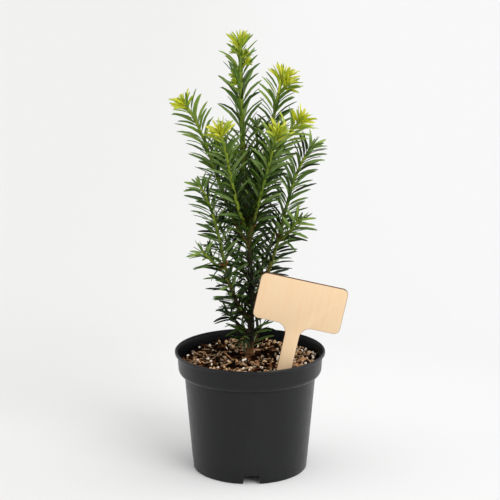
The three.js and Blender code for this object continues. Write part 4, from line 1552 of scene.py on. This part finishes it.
def trunk_age(along):
    """Age of the bark by the share of the trunk's length."""
    at_foot, old, losses = TRUNK_AGE
    age = old + at_foot * (1 - smooth(0.03, 0.07, along))
    for loss, start, end in losses:
        age = age - loss * smooth(start, end, along)
    return age


def stem_age(growth, is_twig, along):
    """Age of the bark by the share of a stem's length; a twig's foot is no older than the rest."""
    foot, rest, tip = STEM_AGES.get(growth, YOUNG_STEM_AGES)
    return foot * (1 - smooth(0, 0.4, along)) * (not is_twig) + mix(rest, tip, smooth(0.5, 1, along))


def bark_piece(name, bm, ages, material, replaced):
    mesh = finished_mesh(name, bm, SMOOTH_ALL)
    attribute = mesh.attributes.new("age", "FLOAT", "POINT")
    attribute.data.foreach_set("value", np.asarray(ages, np.float32))
    new_piece(name, mesh, [material], replaced)


class YEW_OT_bark(bpy.types.Operator):
    """Makes the trunk, the boughs and the shoots' stems with their bark"""

    bl_idname = "yew.bark"
    bl_label = "Trunk, boughs and stems"

    def execute(self, context):
        stem = context.scene.yew_stem
        trunk, stems = plan_stems(stem, context.scene.yew_needle)
        material = bark_material(stem)

        def age_up_trunk(d):
            return trunk_age(d / trunk.length)

        bm = bmesh.new()
        relief = bark_relief(stem, age_up_trunk, 900)
        along = bent_limb(bm, trunk, 0, trunk.length, 18, stem.ring * 0.6, relief)
        bark_piece("trunk_bark", bm, age_up_trunk(along), material, ["trunk"])

        groups = {"bough_bark": ([], bmesh.new()), "shoot_stems": ([], bmesh.new())}
        for one in stems:
            if one.path is trunk:
                continue
            is_twig = one.name.endswith("_twig")

            def age(d, one=one, is_twig=is_twig):
                return stem_age(one.growth, is_twig, d / one.path.length)

            relief = bark_relief(stem, age, 700 + one.seed)
            parts = [("shoot_stems", 0 if is_twig else one.begin, one.end)]
            if not is_twig:
                parts.append(("bough_bark", 0, one.begin))
            for group, start, end in parts:
                ages, bm = groups[group]
                along = bent_limb(bm, one.path, start, end, stem.sides, stem.ring, relief)
                ages.extend(age(along))
        for name, (ages, bm) in groups.items():
            prefix = "bough_" if name == "bough_bark" else "shoot_"
            bark_piece(name, bm, ages, material, [n for n in NODES if n.startswith(prefix)])
        return {"FINISHED"}


# ---------------------------------------------------------------- needles and buds


NEEDLE_PIECES = {
    "needles_old": ("deep", "dark", "middle"),
    "needles_fresh": ("fresh", "lime"),
    "needles_gold": ("gold",),
}


def placed_needles(stems, needle, mixture, label):
    """All needles that find a clear place, and how many were planned."""
    rows = [ordinary_needles(stem, needle) for stem in stems]
    rows += [tip_needles(stem, needle) for stem in stems if stem.has_tip]
    waiting = Blades.joined(rows)
    planned, kept = len(waiting), []
    limbs = [stem.path for stem in stems]
    for swing in SWINGS:
        trial = waiting.swung(math.radians(swing))
        clear = clear_of_everything(trial, limbs, needle, mixture, label)
        kept.append(trial.chosen(clear))
        waiting = waiting.chosen(~clear)
    return Blades.joined(kept), planned


def all_scales(trunk, stems, needle):
    """Dry scales at the boughs' outer ends, at the trunk's nodes and where side twigs fork off."""
    made = []
    for stem in stems:
        if stem.path is not trunk and stem.growth not in ("sprig", "old"):
            made.append(bud_scales(stem.path, stem.begin, SCALES_SEED + stem.seed, needle, BOUGH_SCALES))
    for index, height in enumerate(TRUNK_NODES):
        at, seed = trunk.at_height(height * MM), TRUNK_SCALES_SEED + 40 * index
        made.append(bud_scales(trunk, at, seed, needle, TRUNK_SCALES))
    paths = {stem.name: stem.path for stem in stems}
    for index, (name, at) in enumerate(FORK_NODES):
        path, seed = paths[name], FORK_SCALES_SEED + 30 * index
        made.append(bud_scales(path, path.length * at, seed, needle, FORK_SCALES))
    return made


class YEW_OT_needles(bpy.types.Operator):
    """Sets the needles, tip tufts, side buds and bud scales on the stems"""

    bl_idname = "yew.needles"
    bl_label = "Needles and buds"

    def execute(self, context):
        scene = context.scene
        needle = scene.yew_needle
        trunk, stems = plan_stems(scene.yew_stem, needle)
        materials = needle_materials(needle)
        blades, planned = placed_needles(stems, needle, scene.yew_mix, scene.yew_label)
        masses = [n for n in NODES if n.startswith(("shoot_", "needles_"))]
        for name, tones in NEEDLE_PIECES.items():
            group = blades.chosen(np.isin(blades.tone, [TONE[tone] for tone in tones]))
            self.add(name, group, materials, masses)

        bm, buds = bmesh.new(), []
        for index, (height, compass, yellow) in enumerate(LEADER_BUDS):
            path, bud = side_bud(trunk, height, compass, yellow, SIDE_BUD_SEED + 100 * index, needle)
            buds.append(bud)
            bent_limb(bm, path, 0, path.length, 8, 0.8 * MM, lambda point, distance, turn: 1)
        small = Blades.joined(buds + all_scales(trunk, stems, needle))
        self.add("buds_and_scales", small, materials, ())
        stalks = finished_mesh("bud_stalks", bm, SMOOTH_ALL)
        new_piece("bud_stalks", stalks, [materials[2 * TONE["lime"]]])
        print(f"needles: {len(blades)} blades of {planned}, {len(small)} bud blades and scales")
        return {"FINISHED"}

    @staticmethod
    def add(name, blades, materials, replaced):
        """One piece for a kind, with only the materials that it uses. A blade's margins are one tone
        darker than the blade: painted shade along its edges, leaving its middle as a painted highlight."""
        # Painted shade: each margin takes the next darker tone, but a bud scale keeps its own.
        darker = np.where(blades.tone == TONE["scale"], blades.tone, np.maximum(blades.tone - 1, 0))
        points, faces, numbers = blades.mesh(darker)
        used, numbers = np.unique(numbers, return_inverse=True)
        mesh = joined_mesh(name, points, faces, numbers)
        new_piece(name, mesh, [materials[number] for number in used], replaced)


# ---------------------------------------------------------------- stage


def floor_material(stage):
    """A pale floor that is a touch brighter on the right, where the light comes from, and close to
    the pot, which takes some of its light."""
    material, tree, shader, coordinates = principled("pale_floor", 1.0, 0.0)
    along = add_node(tree, "SeparateXYZ", {"Vector": coordinates})["X"]
    sides = {"Value": along, "From Min": -300 * MM, "From Max": 300 * MM}
    across = add_node(tree, "MapRange", sides, interpolation_type="SMOOTHSTEP")["Result"]
    tones = {"Factor": across, "A": stage.floor_left, "B": stage.floor_right}
    tone = add_node(tree, "Mix", tones, data_type="RGBA")["Result"]
    away = add_node(tree, "VectorMath", {0: coordinates}, operation="LENGTH")["Value"]
    near = {"Value": away, "From Min": 60 * MM, "From Max": 400 * MM, "To Min": stage.near_lift, "To Max": 1}
    lift = add_node(tree, "MapRange", near)["Result"]
    lifted = add_node(tree, "VectorMath", {0: tone, "Scale": lift}, operation="SCALE")["Vector"]
    feed(tree, shader["Base Color"], lifted)
    return material


def pale_world(stage):
    """Pale surroundings, brighter overhead, in front, on both sides and most of all on the right."""
    world = bpy.data.worlds.new("pale_studio")
    world.use_nodes = True
    tree = world.node_tree
    way = add_node(tree, "SeparateXYZ", {"Vector": add_node(tree, "TexCoord")["Generated"]})
    sides = add_node(tree, "Math", {0: way["X"], 1: way["X"]}, operation="MULTIPLY")["Value"]
    level = stage.sky
    shares = (
        (way["Z"], stage.sky_top),
        (way["Y"], -stage.sky_front),
        (sides, stage.sky_sides),
        (way["X"], stage.sky_right),
    )
    for value, factor in shares:
        level = add_node(tree, "Math", {0: value, 1: factor, 2: level}, operation="MULTIPLY_ADD")["Value"]
    background = tree.nodes["Background"].inputs
    feed(tree, background["Strength"], level)
    background["Color"].default_value = (1, 1, 1, 1)
    return world


def add_key_light(stage):
    """A soft light from far away."""
    light = bpy.data.lights.new("key_light", "SUN")
    light.energy = stage.key
    light.angle = stage.key_softness
    towards = Vector(direction(math.degrees(stage.key_side), math.degrees(stage.key_height)))
    add_object("key_light", light).rotation_euler = towards.to_track_quat("Z", "Y").to_euler()


def add_camera(stage):
    camera = bpy.data.cameras.new("camera")
    camera.lens = stage.lens
    camera.sensor_width = 36
    camera.clip_end = 100
    made = add_object("camera", camera)
    made.location = (0, -stage.camera_distance, stage.camera_height)
    made.rotation_euler = (math.pi / 2 - stage.camera_pitch, 0, 0)
    return made


class YEW_OT_stage(bpy.types.Operator):
    """Lays the pale floor and sets the soft light and the camera"""

    bl_idname = "yew.stage"
    bl_label = "Floor, light and camera"

    def execute(self, context):
        scene, stage = context.scene, context.scene.yew_stage
        bm = bmesh.new()
        bmesh.ops.create_circle(bm, cap_ends=True, segments=96, radius=stage.floor_radius)
        bmesh.ops.translate(bm, verts=bm.verts, vec=(0, 0, -0.1 * MM))
        floor = add_object("floor", finished_mesh("floor", bm, 30))
        floor.data.materials.append(floor_material(stage))
        add_key_light(stage)
        scene.world = pale_world(stage)
        scene.camera = add_camera(stage)
        scene.view_settings.view_transform = "Standard"
        return {"FINISHED"}


class YEW_PT_panel(bpy.types.Panel):
    """Lists the steps and their settings"""

    bl_idname = "YEW_PT_panel"
    bl_label = "Potted yew"
    bl_space_type = "VIEW_3D"
    bl_region_type = "UI"
    bl_category = "Yew"

    def draw(self, context):
        for operator in OPERATORS:
            self.layout.operator(operator.bl_idname)
        for name, group in settings(context).items():
            box = self.layout.box()
            box.label(text=name.capitalize())
            for key in group.bl_rna.properties.keys():
                if key not in ("rna_type", "name"):
                    box.prop(group, key)


GROUPS = {
    "pot": PotSettings,
    "mix": MixSettings,
    "label": LabelSettings,
    "stem": StemSettings,
    "needle": NeedleSettings,
    "stage": StageSettings,
}
OPERATORS = (YEW_OT_pot, YEW_OT_mix, YEW_OT_label, YEW_OT_bark, YEW_OT_needles, YEW_OT_stage)


def register():
    for cls in (*GROUPS.values(), *OPERATORS, YEW_PT_panel):
        bpy.utils.register_class(cls)
    for name, group in GROUPS.items():
        setattr(bpy.types.Scene, "yew_" + name, PointerProperty(type=group))


def unregister():
    for name in GROUPS:
        delattr(bpy.types.Scene, "yew_" + name)
    for cls in reversed((*GROUPS.values(), *OPERATORS, YEW_PT_panel)):
        bpy.utils.unregister_class(cls)


def main():
    register()
    bpy.ops.yew.stage()
    bpy.ops.yew.pot()
    bpy.ops.yew.mix()
    bpy.ops.yew.label()
    bpy.ops.yew.bark()
    bpy.ops.yew.needles()
    bpy.context.view_layer.update()


if __name__ == "__main__":
    main()
